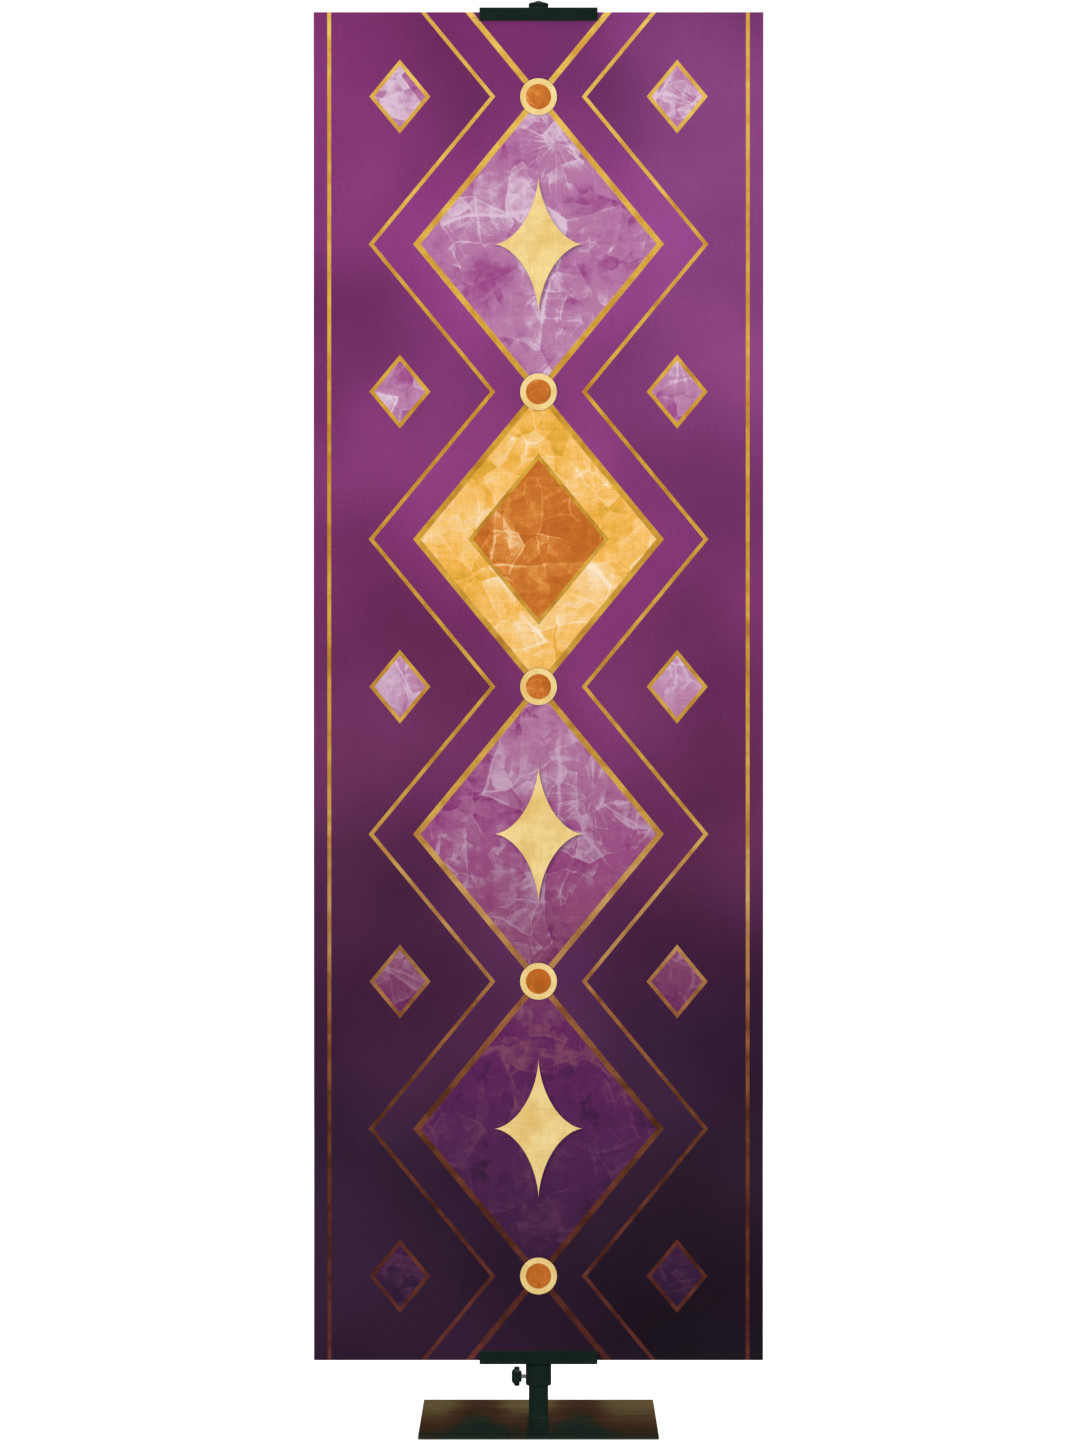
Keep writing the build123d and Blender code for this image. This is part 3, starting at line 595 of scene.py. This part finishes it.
def banner_art(tree):
    """The print: a chain of marbled lozenges and stars in gold lines on a purple ground."""
    parts = add(tree, "SeparateXYZ", {0: add(tree, "UVMap", uv_map="print").outputs[0]})
    share_across, share_up = [Signal(tree, parts.outputs[axis]) for axis in "XY"]
    across = (share_across - 0.5) * BANNER_WIDTH
    up = share_up * BANNER_HEIGHT
    flat = add(tree, "CombineXYZ", {"X": across, "Y": up}).outputs[0]

    # ground: bright at the head, nearly black at the foot, softly clouded
    left = shades(tree, share_up, (0.0, "321c33"), (0.155, "301d33"), (0.24, "492445"),
                  (0.38, "53274b"), (0.47, "6c2f5d"), (0.56, "742f63"), (0.74, "803773"), (1.0, "7e326f"))
    right = shades(tree, share_up, (0.0, "1f1722"), (0.155, "2c1b2d"), (0.24, "3a203d"),
                   (0.30, "482246"), (0.385, "632c56"), (0.56, "79336a"), (0.83, "8d4585"),
                   (1.0, "703268"))
    ground = mixed(tree, share_across.rise(0.1, 0.9), left, right)
    clouds = noise_at(tree, flat, 3.2, detail=2.0, roughness=0.4).rise(0.2, 0.8)
    ground = mixed(tree, 0.45, ground, clouds.socket, "SOFT_LIGHT")

    # the chain: each link a tall lozenge, the links touching at their points
    step = (up - CHAIN_FOOT) / CHAIN_PITCH
    from_link = (step.fraction() - 0.5) * CHAIN_PITCH
    from_joint = ((step + 0.5).fraction() - 0.5) * CHAIN_PITCH
    link = use(tree, LOZENGE, "Distance", Across=across, Up=from_link, Half_Width=CHAIN_HALF_WIDTH,
               Half_Height=CHAIN_PITCH / 2)
    in_chain = step.above(0.0) * step.below(float(CHAIN_COUNT))
    slope = CHAIN_HALF_WIDTH / (CHAIN_PITCH / 2)
    echo = link - ECHO_GAP / math.hypot(1.0, slope)
    colour = mixed(tree, inside(echo) * 0.30, ground, ink("ffe8ff"), "SOFT_LIGHT")

    # fills: mauve links that darken to the foot, and one amber link with an orange heart
    marble = use(tree, MARBLING, "Light", Place=flat, Seed=0.0)
    amber_marble = use(tree, MARBLING, "Light", Place=flat, Seed=0.7)
    deep = shades(tree, share_up, (0.04, "26192f"), (0.155, "361e3c"), (0.245, "4b204e"),
                  (0.30, "6c2861"), (0.38, "853073"), (0.47, "8c3676"), (0.56, "a85a94"), (0.8, "9a4588"))
    middle_tone = shades(tree, share_up, (0.04, "2d1b37"), (0.155, "542554"), (0.245, "64255f"),
                         (0.30, "8b486d"), (0.38, "9b4f84"), (0.47, "b578a3"), (0.56, "c999bd"),
                         (0.8, "b677a6"))
    pale = shades(tree, share_up, (0.04, "4e2a4a"), (0.155, "67375e"), (0.245, "864a65"),
                  (0.30, "a87d9b"), (0.38, "be99b4"), (0.47, "cca8c5"), (0.56, "e7d4e4"), (0.8, "dcc0d6"))
    mauve = mixed(tree, marble.rise(0.0, 0.5), deep, middle_tone)
    mauve = mixed(tree, marble.rise(0.5, 1.0), mauve, pale)
    amber = shades(tree, amber_marble, (0.0, "d3a22c"), (0.3, "f1b145"), (0.55, "f8c46c"),
                   (0.8, "fad49a"), (1.0, "fce9c9"))
    orange = shades(tree, amber_marble, (0.0, "b0581c"), (0.35, "c06723"), (0.6, "cc742c"),
                    (0.85, "e39646"), (1.0, "f6c791"))
    amber_link = step.above(AMBER_LINK) * step.below(AMBER_LINK + 1.0)
    heart = use(tree, LOZENGE, "Distance", Across=across, Up=from_link,
                Half_Width=CHAIN_HALF_WIDTH * HEART_SHARE, Half_Height=CHAIN_PITCH / 2 * HEART_SHARE)
    amber = mixed(tree, inside(heart), amber, orange)
    fill = mixed(tree, amber_link, mauve, amber)
    colour = mixed(tree, inside(link) * in_chain, colour, fill)

    # small lozenges beside each joint of the chain
    side = use(tree, LOZENGE, "Distance", Across=abs(across) - SIDE_LOZENGE_AT, Up=from_joint,
               Half_Width=SIDE_HALF_WIDTH, Half_Height=SIDE_HALF_HEIGHT)
    colour = mixed(tree, inside(side), colour, mauve)

    # gold line work, bright at the head and copper at the foot
    metal = shades(tree, share_up, (0.0, "5d2c28"), (0.11, "5c2c22"), (0.19, "6b3c24"),
                   (0.26, "975d37"), (0.34, "bf9055"), (0.42, "c7963f"), (0.7, "ce992f"), (1.0, "e4b752"))
    speck = noise_at(tree, flat, 700.0, detail=3.0, roughness=0.7)
    brushed = noise_at(tree, flat, 26.0, detail=5.0, roughness=0.6).rise(0.3, 0.7)
    metal = mixed(tree, 0.5, metal, brushed.socket, "SOFT_LIGHT")
    metal = mixed(tree, speck.rise(0.5, 0.75) * 0.35, metal, ink("7a4a1a"))
    lines = stroke(link, GOLD_LINE)
    lines = lines.at_least(stroke(heart, THIN_LINE) * amber_link)
    for line in (echo, side, abs(across) - (BANNER_WIDTH / 2 - EDGE_LINE_INSET)):
        lines = lines.at_least(stroke(line, THIN_LINE))
    colour = mixed(tree, lines, colour, metal)

    # stars in pale gold leaf with a soft shadow, and a roundel on each joint
    leaf = mixed(tree, brushed, ink("e9c474"), ink("f8df9c"))
    leaf = mixed(tree, speck.rise(0.5, 0.75) * 0.22, leaf, ink("d0a256"))
    plain_links = in_chain * (1.0 - amber_link)
    for shift, soft, strength, paint in ((0.002, 0.11, 0.7, ink(CAST_SHADOW)), (0.0, 0.008, 1.0, leaf)):
        reach = (abs(across - shift) / STAR_HALF_WIDTH).power(STAR_CURVE)
        climb = (abs(from_link + shift) / STAR_HALF_HEIGHT).power(STAR_CURVE)
        star = inside(reach + climb - 1.0, soft) * plain_links
        colour = mixed(tree, star * strength, colour, paint)
    away = (across * across + from_joint * from_joint).power(0.5) - ROUNDEL_RADIUS
    colour = mixed(tree, away.rise(0.008, 0.001) * 0.6, colour, ink(CAST_SHADOW))
    colour = mixed(tree, inside(away), colour, orange)
    colour = mixed(tree, stroke(away, GOLD_LINE), colour, leaf)
    return colour, across, up


def woven_print(name, veil, shade, shading, matt, depth, gleam):
    """Poly-linen with the print on it, under an off-white veil where it only shows through."""
    finish, tree, shader, _ = new_finish(name)
    colour, across, up = banner_art(tree)
    tone = use(tree, WEAVE, "Tone", Across=across, Up=up)
    weave = use(tree, WEAVE, "Height", Across=across, Up=up)
    if veil:
        colour = mixed(tree, veil, colour, ink("e2dce0"))
    colour = mixed(tree, tone.rise(0.35, 0.65) * shading, colour, ink(shade))
    dress(tree, shader, colour, tone.rise(0.3, 0.7, matt, matt + 0.12), height=weave, depth=depth,
          Specular_IOR_Level=gleam)
    return finish


def sewing_thread():
    """Twisted polyester thread, matched to the print: plum at the foot, bright purple at the top."""
    finish, tree, shader, place = new_finish("sewing_thread")
    ply = add(tree, "TexWave", {"Vector": place, "Scale": 900.0, "Distortion": 1.0},
              bands_direction="DIAGONAL").outputs["Fac"]
    climb = Signal(tree, add(tree, "SeparateXYZ", {0: place}).outputs["Z"]).rise(0.2, 1.8)
    plum = mixed(tree, ply, ink("1d121e"), ink("34213a"))
    bright_purple = mixed(tree, ply, ink("5a2450"), ink("8d4180"))
    colour = mixed(tree, climb, plum, bright_purple)
    dress(tree, shader, colour, 0.55, height=ply, depth=0.00005)
    return finish


# ---------------------------------------------------------------- pieces: the cloth
def ripple(x, z):
    """How far the hung sheet stands back from flat, nothing at its hems."""
    climb = (z - SHEET_FOOT) / SHEET_HEIGHT
    ease = min(1.0, min(climb, 1.0 - climb) / 0.16)
    ease = ease * ease * (3 - 2 * ease)
    long_fold = 1.3 * math.sin(2 * math.pi * (x / 0.37 + 0.22 * math.sin(2.6 * climb) + 0.1))
    short_fold = 0.5 * math.sin(2 * math.pi * (x / 0.16 + 0.9 * climb))
    sway = 0.6 * math.sin(2 * math.pi * (1.6 * climb + 0.3 * x / 0.3))
    edge_curl = 1.4 * (abs(x) / (BANNER_WIDTH / 2)) ** 8 * math.sin(2 * math.pi * (1.1 * climb + 0.15))
    crumple = 0.7 * noise.noise(Vector((x * 5.0, 3.7, z * 3.0)))
    return ease * (long_fold + short_fold + sway + edge_curl + crumple) * MILLIMETRE


def lay_print(piece, folded=False):
    """Lays the print's map on a cloth piece by its place, and unfolded over a hem's back flap."""
    mesh = piece.data
    layer = mesh.uv_layers[0] if mesh.uv_layers else mesh.uv_layers.new()
    layer.name = "print"
    for face in mesh.polygons:
        folded_back = folded and face.center.y > MIDDLE_DEPTH
        for corner in face.loop_indices:
            spot = mesh.vertices[mesh.loops[corner].vertex_index].co
            climb = (spot.z - BANNER_LOW.z) / BANNER_HEIGHT
            if folded_back:
                climb = 2 * round(climb) - climb
            layer.data[corner].uv = ((spot.x - BANNER_LOW.x) / BANNER_WIDTH, climb)


def thicken_cloth(piece):
    """Gives the cloth its thickness, printed on its face and bare behind and at its cut edges."""
    piece.data.materials.append(front)
    piece.data.materials.append(back)
    with_modifier(piece, "SOLIDIFY", thickness=CLOTH_THICK, offset=0.0, material_offset=1,
                  material_offset_rim=1, use_even_offset=True)
    return piece


def sheet_of_cloth():
    """The sheet between the hems, gently rippled."""
    piece = add_primitive("grid", "banner_cloth", x_subdivisions=CLOTH_COLUMNS,
                          y_subdivisions=CLOTH_ROWS, size=1,
                          location=(0, CLOTH_FACE, (SHEET_FOOT + SHEET_TOP) / 2),
                          rotation=(math.pi / 2, 0, 0))
    bpy.ops.transform.resize(value=(BANNER_WIDTH, 1, SHEET_HEIGHT))
    settle(piece)
    for point in piece.data.vertices:
        point.co.y += ripple(point.co.x, point.co.z)
    lay_print(piece)
    return piece


def hem(name, end, way):
    """A pocket folded round a slat: front flap, fold and back flap, along one end of the banner."""
    radius = (HEM_THICK - CLOTH_THICK) / 2
    fold = end - way * HEM_THICK / 2
    seam = end - way * HEM_HEIGHT
    flap = abs(fold - seam)
    lip = 0.0016
    piece = add_primitive("grid", name, x_subdivisions=CLOTH_COLUMNS, y_subdivisions=2, size=1,
                          location=(0, MIDDLE_DEPTH - radius, (fold + seam) / 2),
                          rotation=(math.pi / 2, 0, 0))
    bpy.ops.transform.resize(value=(BANNER_WIDTH, 1, flap))
    settle(piece)
    open_edit(piece)
    pick(piece, lambda e: abs(middle(e).z - fold) < 1e-5
         and abs(e.verts[0].co.z - e.verts[1].co.z) < 1e-6, "EDGE")
    bpy.ops.mesh.spin(steps=8, angle=way * math.pi, center=(0, MIDDLE_DEPTH, fold), axis=(1, 0, 0))
    for drop, lean in ((flap - lip, 0.0), (lip, -radius * 1.2)):
        bpy.ops.mesh.extrude_region_move(TRANSFORM_OT_translate={"value": (0, lean, -way * drop)})
    close_edit()
    lay_print(piece, folded=True)
    return piece


def row_of_stitches(name, height, depth):
    """A row of lock stitches across the banner, each thread dipping into the cloth at its ends."""
    count = int((BANNER_WIDTH - 2 * STITCH_END) / STITCH_PITCH)
    start = -(count - 1) * STITCH_PITCH / 2
    stitch = add_primitive("cylinder", name, vertices=8, radius=STITCH_RADIUS, depth=STITCH_LENGTH,
                           location=(start, depth, height), rotation=(0, math.pi / 2, 0))
    settle(stitch)
    open_edit(stitch)
    pick(stitch, lambda f: abs(f.normal.x) > 0.9)
    bpy.ops.mesh.inset(thickness=STITCH_RADIUS * 0.5, depth=STITCH_RADIUS * 0.4)
    pick(stitch, lambda e: abs(e.verts[0].co.x - e.verts[1].co.x) > STITCH_LENGTH * 0.9, "EDGE")
    bpy.ops.mesh.subdivide(number_cuts=3)
    close_edit()
    for point in stitch.data.vertices:
        off_middle = (point.co.x - start) / (STITCH_LENGTH / 2)
        point.co.y += STITCH_RADIUS * 1.1 * off_middle ** 4
    with_modifier(stitch, "ARRAY", count=count, use_relative_offset=False, use_constant_offset=True,
                  constant_offset_displace=(STITCH_PITCH, 0, 0))
    return smooth(stitch, 60)


# ---------------------------------------------------------------- pieces: metalwork
def threaded_screw(name, node):
    """A lock screw with its rolled thread: a core, and a ridge wound round it, wide at its root."""
    low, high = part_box(node)
    length = high.x - low.x
    turns = int(length / THREAD_PITCH) - 1
    core = add_primitive("cylinder", name, vertices=40, radius=THREAD_CORE, depth=length,
                         rotation=(0, math.pi / 2, 0))
    settle(core)
    open_edit(core)
    pick(core, lambda f: abs(f.normal.x) > 0.9)
    bpy.ops.mesh.inset(thickness=THREAD_CORE * 0.15)
    close_edit()
    ridge = add_primitive("plane", name + "_ridge", size=1)
    root = THREAD_CORE - 0.0001
    corners = ((-0.44, root), (0.44, root), (-0.09, THREAD_CREST), (0.09, THREAD_CREST))
    for point, (along, out) in zip(ridge.data.vertices, corners):
        point.co = (along * THREAD_PITCH - turns * THREAD_PITCH / 2, out, 0)
    with_modifier(ridge, "SCREW", axis="X", screw_offset=THREAD_PITCH, iterations=turns, steps=28,
                  render_steps=28, use_merge_vertices=False)
    open_edit(ridge)
    bpy.ops.mesh.select_all(action="SELECT")
    bpy.ops.mesh.fill_holes(sides=4)
    close_edit()
    screw = face_outwards(join(core, ridge))
    bpy.ops.transform.translate(value=((low.x + high.x) / 2, 0, (low.z + high.z) / 2))
    return smooth(settle(screw), 30)


def weld_bead():
    """The bead round the socket's foot, laid in overlapping ripples and finer than its leg."""
    low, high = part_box("socket_weld")
    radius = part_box("socket_tube")[1].x
    leg = high.z - low.z
    stand_off = leg * 0.12
    thickness = leg * 0.40
    ripples = 44
    ripple_rise = 0.10
    unevenness = 0.12
    bead = add_primitive("torus", "socket_weld_bead", major_segments=264, minor_segments=14,
                         major_radius=radius + stand_off, minor_radius=thickness,
                         location=(0, 0, low.z + stand_off))
    settle(bead)
    for point in bead.data.vertices:
        angle = math.atan2(point.co.y, point.co.x)
        phase = (angle / (2 * math.pi) * ripples) % 1.0
        spot = Vector((math.cos(angle) * 3, math.sin(angle) * 3, 0.5))
        swell = 1.0 + ripple_rise * (phase - 0.5) + unevenness * noise.noise(spot)
        out = math.hypot(point.co.x, point.co.y)
        grown = radius + (out - radius) * swell
        point.co.x *= grown / out
        point.co.y *= grown / out
        point.co.z = max(low.z, low.z + (point.co.z - low.z) * swell)
    return smooth(bead, 50)


def headed_screw(name, low, high, across, head_height, shank_radius, crown):
    """A screw that fills a box along Y, its rounded head to the back."""
    share, steps, fullness = crown
    head_radius = (high.z - low.z) / 2
    seat = high.y - head_height
    screw = add_primitive("cylinder", name, vertices=48, radius=head_radius, depth=head_height,
                          location=(across, seat + head_height / 2, (low.z + high.z) / 2),
                          rotation=(math.pi / 2, 0, 0))
    settle(screw)
    open_edit(screw)
    pick(screw, lambda e: all(v.co.y > seat + head_height * 0.9 for v in e.verts), "EDGE")
    bpy.ops.mesh.bevel(offset=head_height * share, segments=steps, profile=fullness)
    pick(screw, lambda f: f.normal.y < -0.9 and f.calc_center_median().y < seat + 1e-5)
    bpy.ops.mesh.inset(thickness=head_radius - shank_radius)
    bpy.ops.mesh.extrude_region_move(TRANSFORM_OT_translate={"value": (0, low.y - seat, 0)})
    close_edit()
    return screw


def cut_cross(screw, centre, reach, width, depth):
    """Cuts a cross recess with leaning ends into a screw head that faces back along Y."""
    for turn, spread in ((0, (reach, depth * 2, width)), (math.pi / 2, (width, depth * 2, reach))):
        bar = add_primitive("cube", "recess_bar", size=1, location=centre, rotation=(0, turn, 0))
        bpy.ops.transform.resize(value=spread)
        settle(bar)
        open_edit(bar)
        pick(bar, lambda f: f.normal.y < -0.9)
        bpy.ops.transform.resize(value=(0.55, 1, 0.55))
        close_edit()
        cut(screw, bar)


def jaw_screw_pair(end):
    """The two pan-head screws that hold a clamp's back jaw to its bracket."""
    low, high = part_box(f"{end}_jaw_screws")
    radius = (high.z - low.z) / 2
    across = high.x - radius
    first = headed_screw(f"{end}_jaw_screw_pair", low, high, across, JAW_SCREW_HEAD, JAW_SCREW_SHANK,
                         PAN_CROWN)
    cut_cross(first, centre=(across, high.y, (low.z + high.z) / 2), reach=radius * 1.05,
              width=radius * 0.24, depth=JAW_SCREW_HEAD * 0.55)
    smooth(first, 30)
    second = copy_of(first, "second_screw", (-2 * across, 0, 0))
    return join(first, second)


def bracket_grub_screw(end):
    """The set screw of a bracket: a rounded head with a hexagon socket."""
    low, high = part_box(f"{end}_bracket_screw")
    screw = headed_screw(f"{end}_set_screw", low, high, 0, SET_SCREW_HEAD, SET_SCREW_SHANK, SET_CROWN)
    hexagon = add_primitive("cylinder", "key_way", vertices=6, radius=HEX_RADIUS, depth=HEX_DEPTH,
                            location=(0, high.y, (low.z + high.z) / 2), rotation=(math.pi / 2, 0, 0))
    settle(hexagon)
    open_edit(hexagon)
    pick(hexagon, lambda f: f.normal.y < -0.9)
    bpy.ops.mesh.inset(thickness=0.0003, depth=0.0002)
    close_edit()
    cut(screw, hexagon)
    return smooth(screw, 30)


def knob_insert(name, node):
    """The plated nut moulded into a knob's inner face, a knurled ring round the screw."""
    low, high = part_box(node)
    centre_z = (low.z + high.z) / 2
    radius = 0.0043
    depth = 0.002
    proud = 0.0006
    wall = 0.0011
    dish = 0.0004
    rounding = 0.0003
    knurls = 24
    ring = add_primitive("cylinder", name, vertices=2 * knurls, radius=radius, depth=depth,
                         location=(high.x + proud - depth / 2, 0, centre_z),
                         rotation=(0, math.pi / 2, 0))
    settle(ring)
    open_edit(ring)
    pick(ring, lambda f: f.normal.x > 0.9)
    bpy.ops.mesh.inset(thickness=wall)
    bpy.ops.mesh.extrude_region_move(TRANSFORM_OT_translate={"value": (-dish, 0, 0)})
    pick(ring, lambda e: all(v.co.x > high.x + proud * 0.9 for v in e.verts)
         and abs(math.hypot(middle(e).y, middle(e).z - centre_z) - radius) < 0.0002, "EDGE")
    bpy.ops.mesh.bevel(offset=rounding, segments=2)
    close_edit()
    for point in ring.data.vertices:
        up = point.co.z - centre_z
        if math.hypot(point.co.y, up) > radius - 0.0001:
            notch = 1.0 - 0.025 * (round(math.atan2(point.co.y, up) * knurls / math.pi) % 2)
            point.co.y *= notch
            point.co.z = centre_z + up * notch
    return smooth(ring, 25)


# ---------------------------------------------------------------- the stand's own parts
black_tube = coated("tube_coat", "18261f", "1c2c24", "5d5f5b", 0.46, gleam=0.06)
black_jaw = coated("jaw_coat", "112019", "15261f", "6a6b67", 0.44, wear=0.35)
black_mould = coated("moulded_black", "13211b", "172720", "1c2722", 0.48, wear=0.3, peel=1500.0)
knob_black = coated("knob_black", "14201b", "182720", "26302b", 0.34, wear=0.35, peel=1100.0)
plate_enamel_and_reflection = plate_enamel_painted_reflection()
bright = bare_metal("bright_steel", "c9cac5", "f6f5f0", 0.4, (1.0, 0.05, 0.05), metallic=0.15)
spring = bare_metal("spring_steel", "4d5054", "8d9196", 0.3, (0.05, 1.0, 1.0))
fastener = bare_metal("dark_fastener", "16181a", "3a3d40", 0.36, (1.0, 1.0, 0.1))
pin_steel = bare_metal("pin_steel", "77797a", "b9bab8", 0.28, (0.04, 1.0, 1.0))
foot_rubber = rubber("foot_rubber", "121312", "23241f")
grip_rubber = rubber("grip_rubber", "17181a", "2a2b2b")
nylon = soft_plastic("nylon", "1a1c1b", "2b2e2c", 0.38)
slat_plastic = soft_plastic("slat_plastic", "c9c7bf", "e2e0d8", 0.36)
front = woven_print("printed_cloth", 0.0, "0c060d", 0.12, 0.78, 0.00012, 0.08)
back = woven_print("cloth_reverse", 0.66, "8d868a", 0.14, 0.8, 0.00014, 0.15)
thread = sewing_thread()

coats = {
    "base_plate": plate_enamel_and_reflection,
    "foot_pads": foot_rubber,
    "socket_weld": black_tube,
    "socket_tube": black_tube,
    "base_collar": black_tube,
    "lower_tube": black_tube,
    "upper_tube": black_tube,
    "height_collar": black_tube,
    "base_lock_knob": knob_black,
    "height_lock_knob": knob_black,
    "base_lock_tip": nylon,
    "height_lock_tip": nylon,
    "pole_end_plug": nylon,
    "glide_bush": nylon,
    "top_cap": black_mould,
    "bottom_slat": slat_plastic,
    "top_slat": slat_plastic,
    "base_lock_screw": bright,
    "height_lock_screw": bright,
    "banner": front,
}
clamp_coats = {
    "bracket": black_mould,
    "bracket_screw": fastener,
    "back_jaw": black_jaw,
    "front_jaw": black_jaw,
    "jaw_pin": pin_steel,
    "end_caps": black_mould,
    "back_grip": grip_rubber,
    "front_grip": grip_rubber,
    "detent_springs": spring,
    "spring_rivets": fastener,
    "jaw_screws": fastener,
}
for end in ("upper", "lower"):
    coats.update({f"{end}_{name}": finish for name, finish in clamp_coats.items()})
for node, finish in coats.items():
    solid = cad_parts[node]
    solid.data.materials.clear()
    solid.data.materials.append(finish)

# ---------------------------------------------------------------- the pieces made here
cloth = thicken_cloth(sheet_of_cloth())
finish_piece(cloth, "upper_pole", front, "banner_cloth", "banner")
hems = {}
for name, end, way, body in (("banner_top_hem", BANNER_HIGH.z, 1, "upper_pole"),
                             ("banner_foot_hem", BANNER_LOW.z, -1, "lower_pole")):
    hems[name] = thicken_cloth(hem(name, end, way))
    finish_piece(hems[name], body, front, "banner_cloth")

for name, end, way, body in (("top_stitching", BANNER_HIGH.z, 1, "upper_pole"),
                             ("foot_stitching", BANNER_LOW.z, -1, "lower_pole")):
    height = end - way * (HEM_HEIGHT - STITCH_INSET)
    row = row_of_stitches(name, height, BANNER_LOW.y - STITCH_RADIUS * 0.2)
    finish_piece(row, body, thread, "banner_cloth")

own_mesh(cloth)

for place, body in (("base", "base_knob"), ("height", "height_knob")):
    node = f"{place}_lock_screw"
    screw = threaded_screw(f"{place}_lock_screw_threaded", node)
    finish_piece(screw, body, bright, "bright_steel", node)
    insert = knob_insert(f"{place}_knob_insert", f"{place}_lock_knob")
    finish_piece(insert, body, bright, "bright_steel")
finish_piece(weld_bead(), "base", black_tube, "tube_paint", "socket_weld")
for end in ("upper", "lower"):
    body = f"{end}_pole"
    finish_piece(jaw_screw_pair(end), body, fastener, "fastener_steel", f"{end}_jaw_screws")
    finish_piece(bracket_grub_screw(end), body, fastener, "fastener_steel", f"{end}_bracket_screw")


# ---------------------------------------------------------------- the studio
def studio_floor():
    """A pale sweep that reads as white, and gives back only a little light to what stands on it."""
    finish, tree, shader, place = new_finish("studio_floor")
    speck = noise_at(tree, place, 3.0, detail=3.0)
    dress(tree, shader, mixed(tree, speck, ink("f2f2f1"), ink("f8f8f7")), 0.9, Specular_IOR_Level=0.0,
          Emission_Color=(1, 1, 1, 1), Emission_Strength=0.5)
    dim = add(tree, "BsdfDiffuse", {"Color": ink("7d7a74")}).outputs[0]
    camera_ray = add(tree, "LightPath").outputs["Is Camera Ray"]
    either = add(tree, "MixShader", {0: camera_ray, 1: dim, 2: shader.outputs[0]}).outputs[0]
    tree.links.new(either, tree.nodes["Material Output"].inputs["Surface"])
    floor = add_primitive("circle", "floor", vertices=96, radius=5.0, fill_type="NGON")
    floor.data.materials.append(finish)


SURROUND = 1.1
AMBIENT = 0.42
CAMERA_LENS = 115.18
CAMERA_PLACE = (0.00202, -6.2737, 0.98677)
CAMERA_DIP = 0.2824


def soft_box(name, place, aim, size, power, mirrored=True):
    """A lamp aimed at a point, left out of what gloss reflects unless it is mirrored."""
    light = bpy.data.lights.new(name, "AREA")
    light.shape = "RECTANGLE"
    light.size, light.size_y = size
    light.energy = power
    lamp = bpy.data.objects.new(name, light)
    bpy.context.scene.collection.objects.link(lamp)
    lamp.location = place
    lamp.rotation_euler = (Vector(aim) - Vector(place)).to_track_quat("-Z", "Y").to_euler()
    lamp.visible_glossy = mirrored


def studio_world():
    """A white surround, even soft light from it, and a dim warm room in what gloss reflects."""
    world = bpy.data.worlds.new("studio")
    world.use_nodes = True
    world.cycles.sampling_method = "NONE"
    bpy.context.scene.world = world
    tree = world.node_tree
    tree.nodes.clear()
    direction = add(tree, "TexCoord").outputs["Generated"]
    height = Signal(tree, add(tree, "SeparateXYZ", {0: direction}).outputs["Z"])
    room = shades(tree, height, (0.0, "18261e"), (0.34, "19281f"), (0.60, "969490"), (1.0, "d2d1cf"))
    surround = add(tree, "Background", {"Color": (1, 1, 1, 1), "Strength": SURROUND}).outputs[0]
    ambient = add(tree, "Background", {"Color": (1, 1, 1, 1), "Strength": AMBIENT}).outputs[0]
    mirrored = add(tree, "Background", {"Color": room, "Strength": 1.0}).outputs[0]
    path = add(tree, "LightPath").outputs
    unseen = add(tree, "MixShader", {0: path["Is Glossy Ray"], 1: ambient, 2: mirrored}).outputs[0]
    either = add(tree, "MixShader", {0: path["Is Camera Ray"], 1: unseen, 2: surround}).outputs[0]
    output = tree.nodes.new("ShaderNodeOutputWorld")
    tree.links.new(either, output.inputs["Surface"])


def studio_camera():
    """A long lens level with the banner's middle, dipped by part of a degree."""
    camera = bpy.data.cameras.new("camera")
    camera.lens = CAMERA_LENS
    camera.sensor_width = 36.0
    camera.clip_end = 100.0
    viewer = bpy.data.objects.new("camera", camera)
    bpy.context.scene.collection.objects.link(viewer)
    viewer.location = CAMERA_PLACE
    viewer.rotation_euler = (math.radians(90 - CAMERA_DIP), 0, 0)
    bpy.context.scene.camera = viewer


studio_floor()
studio_world()
soft_box("key", (-3.9, -4.3, 1.1), (0, 0, 1.0), (2.2, 2.0), 165, mirrored=False)
soft_box("fill", (4.1, -4.0, 1.0), (0, 0, 1.0), (2.2, 2.0), 150, mirrored=False)
soft_box("top", (0, 0, 4.4), (0, 0, 0), (3.0, 3.0), 60)
soft_box("rear", (0.6, 4.2, 2.6), (0, 0, 1.0), (2.4, 2.4), 110, mirrored=False)
studio_camera()
bpy.context.scene.view_settings.view_transform = "Standard"
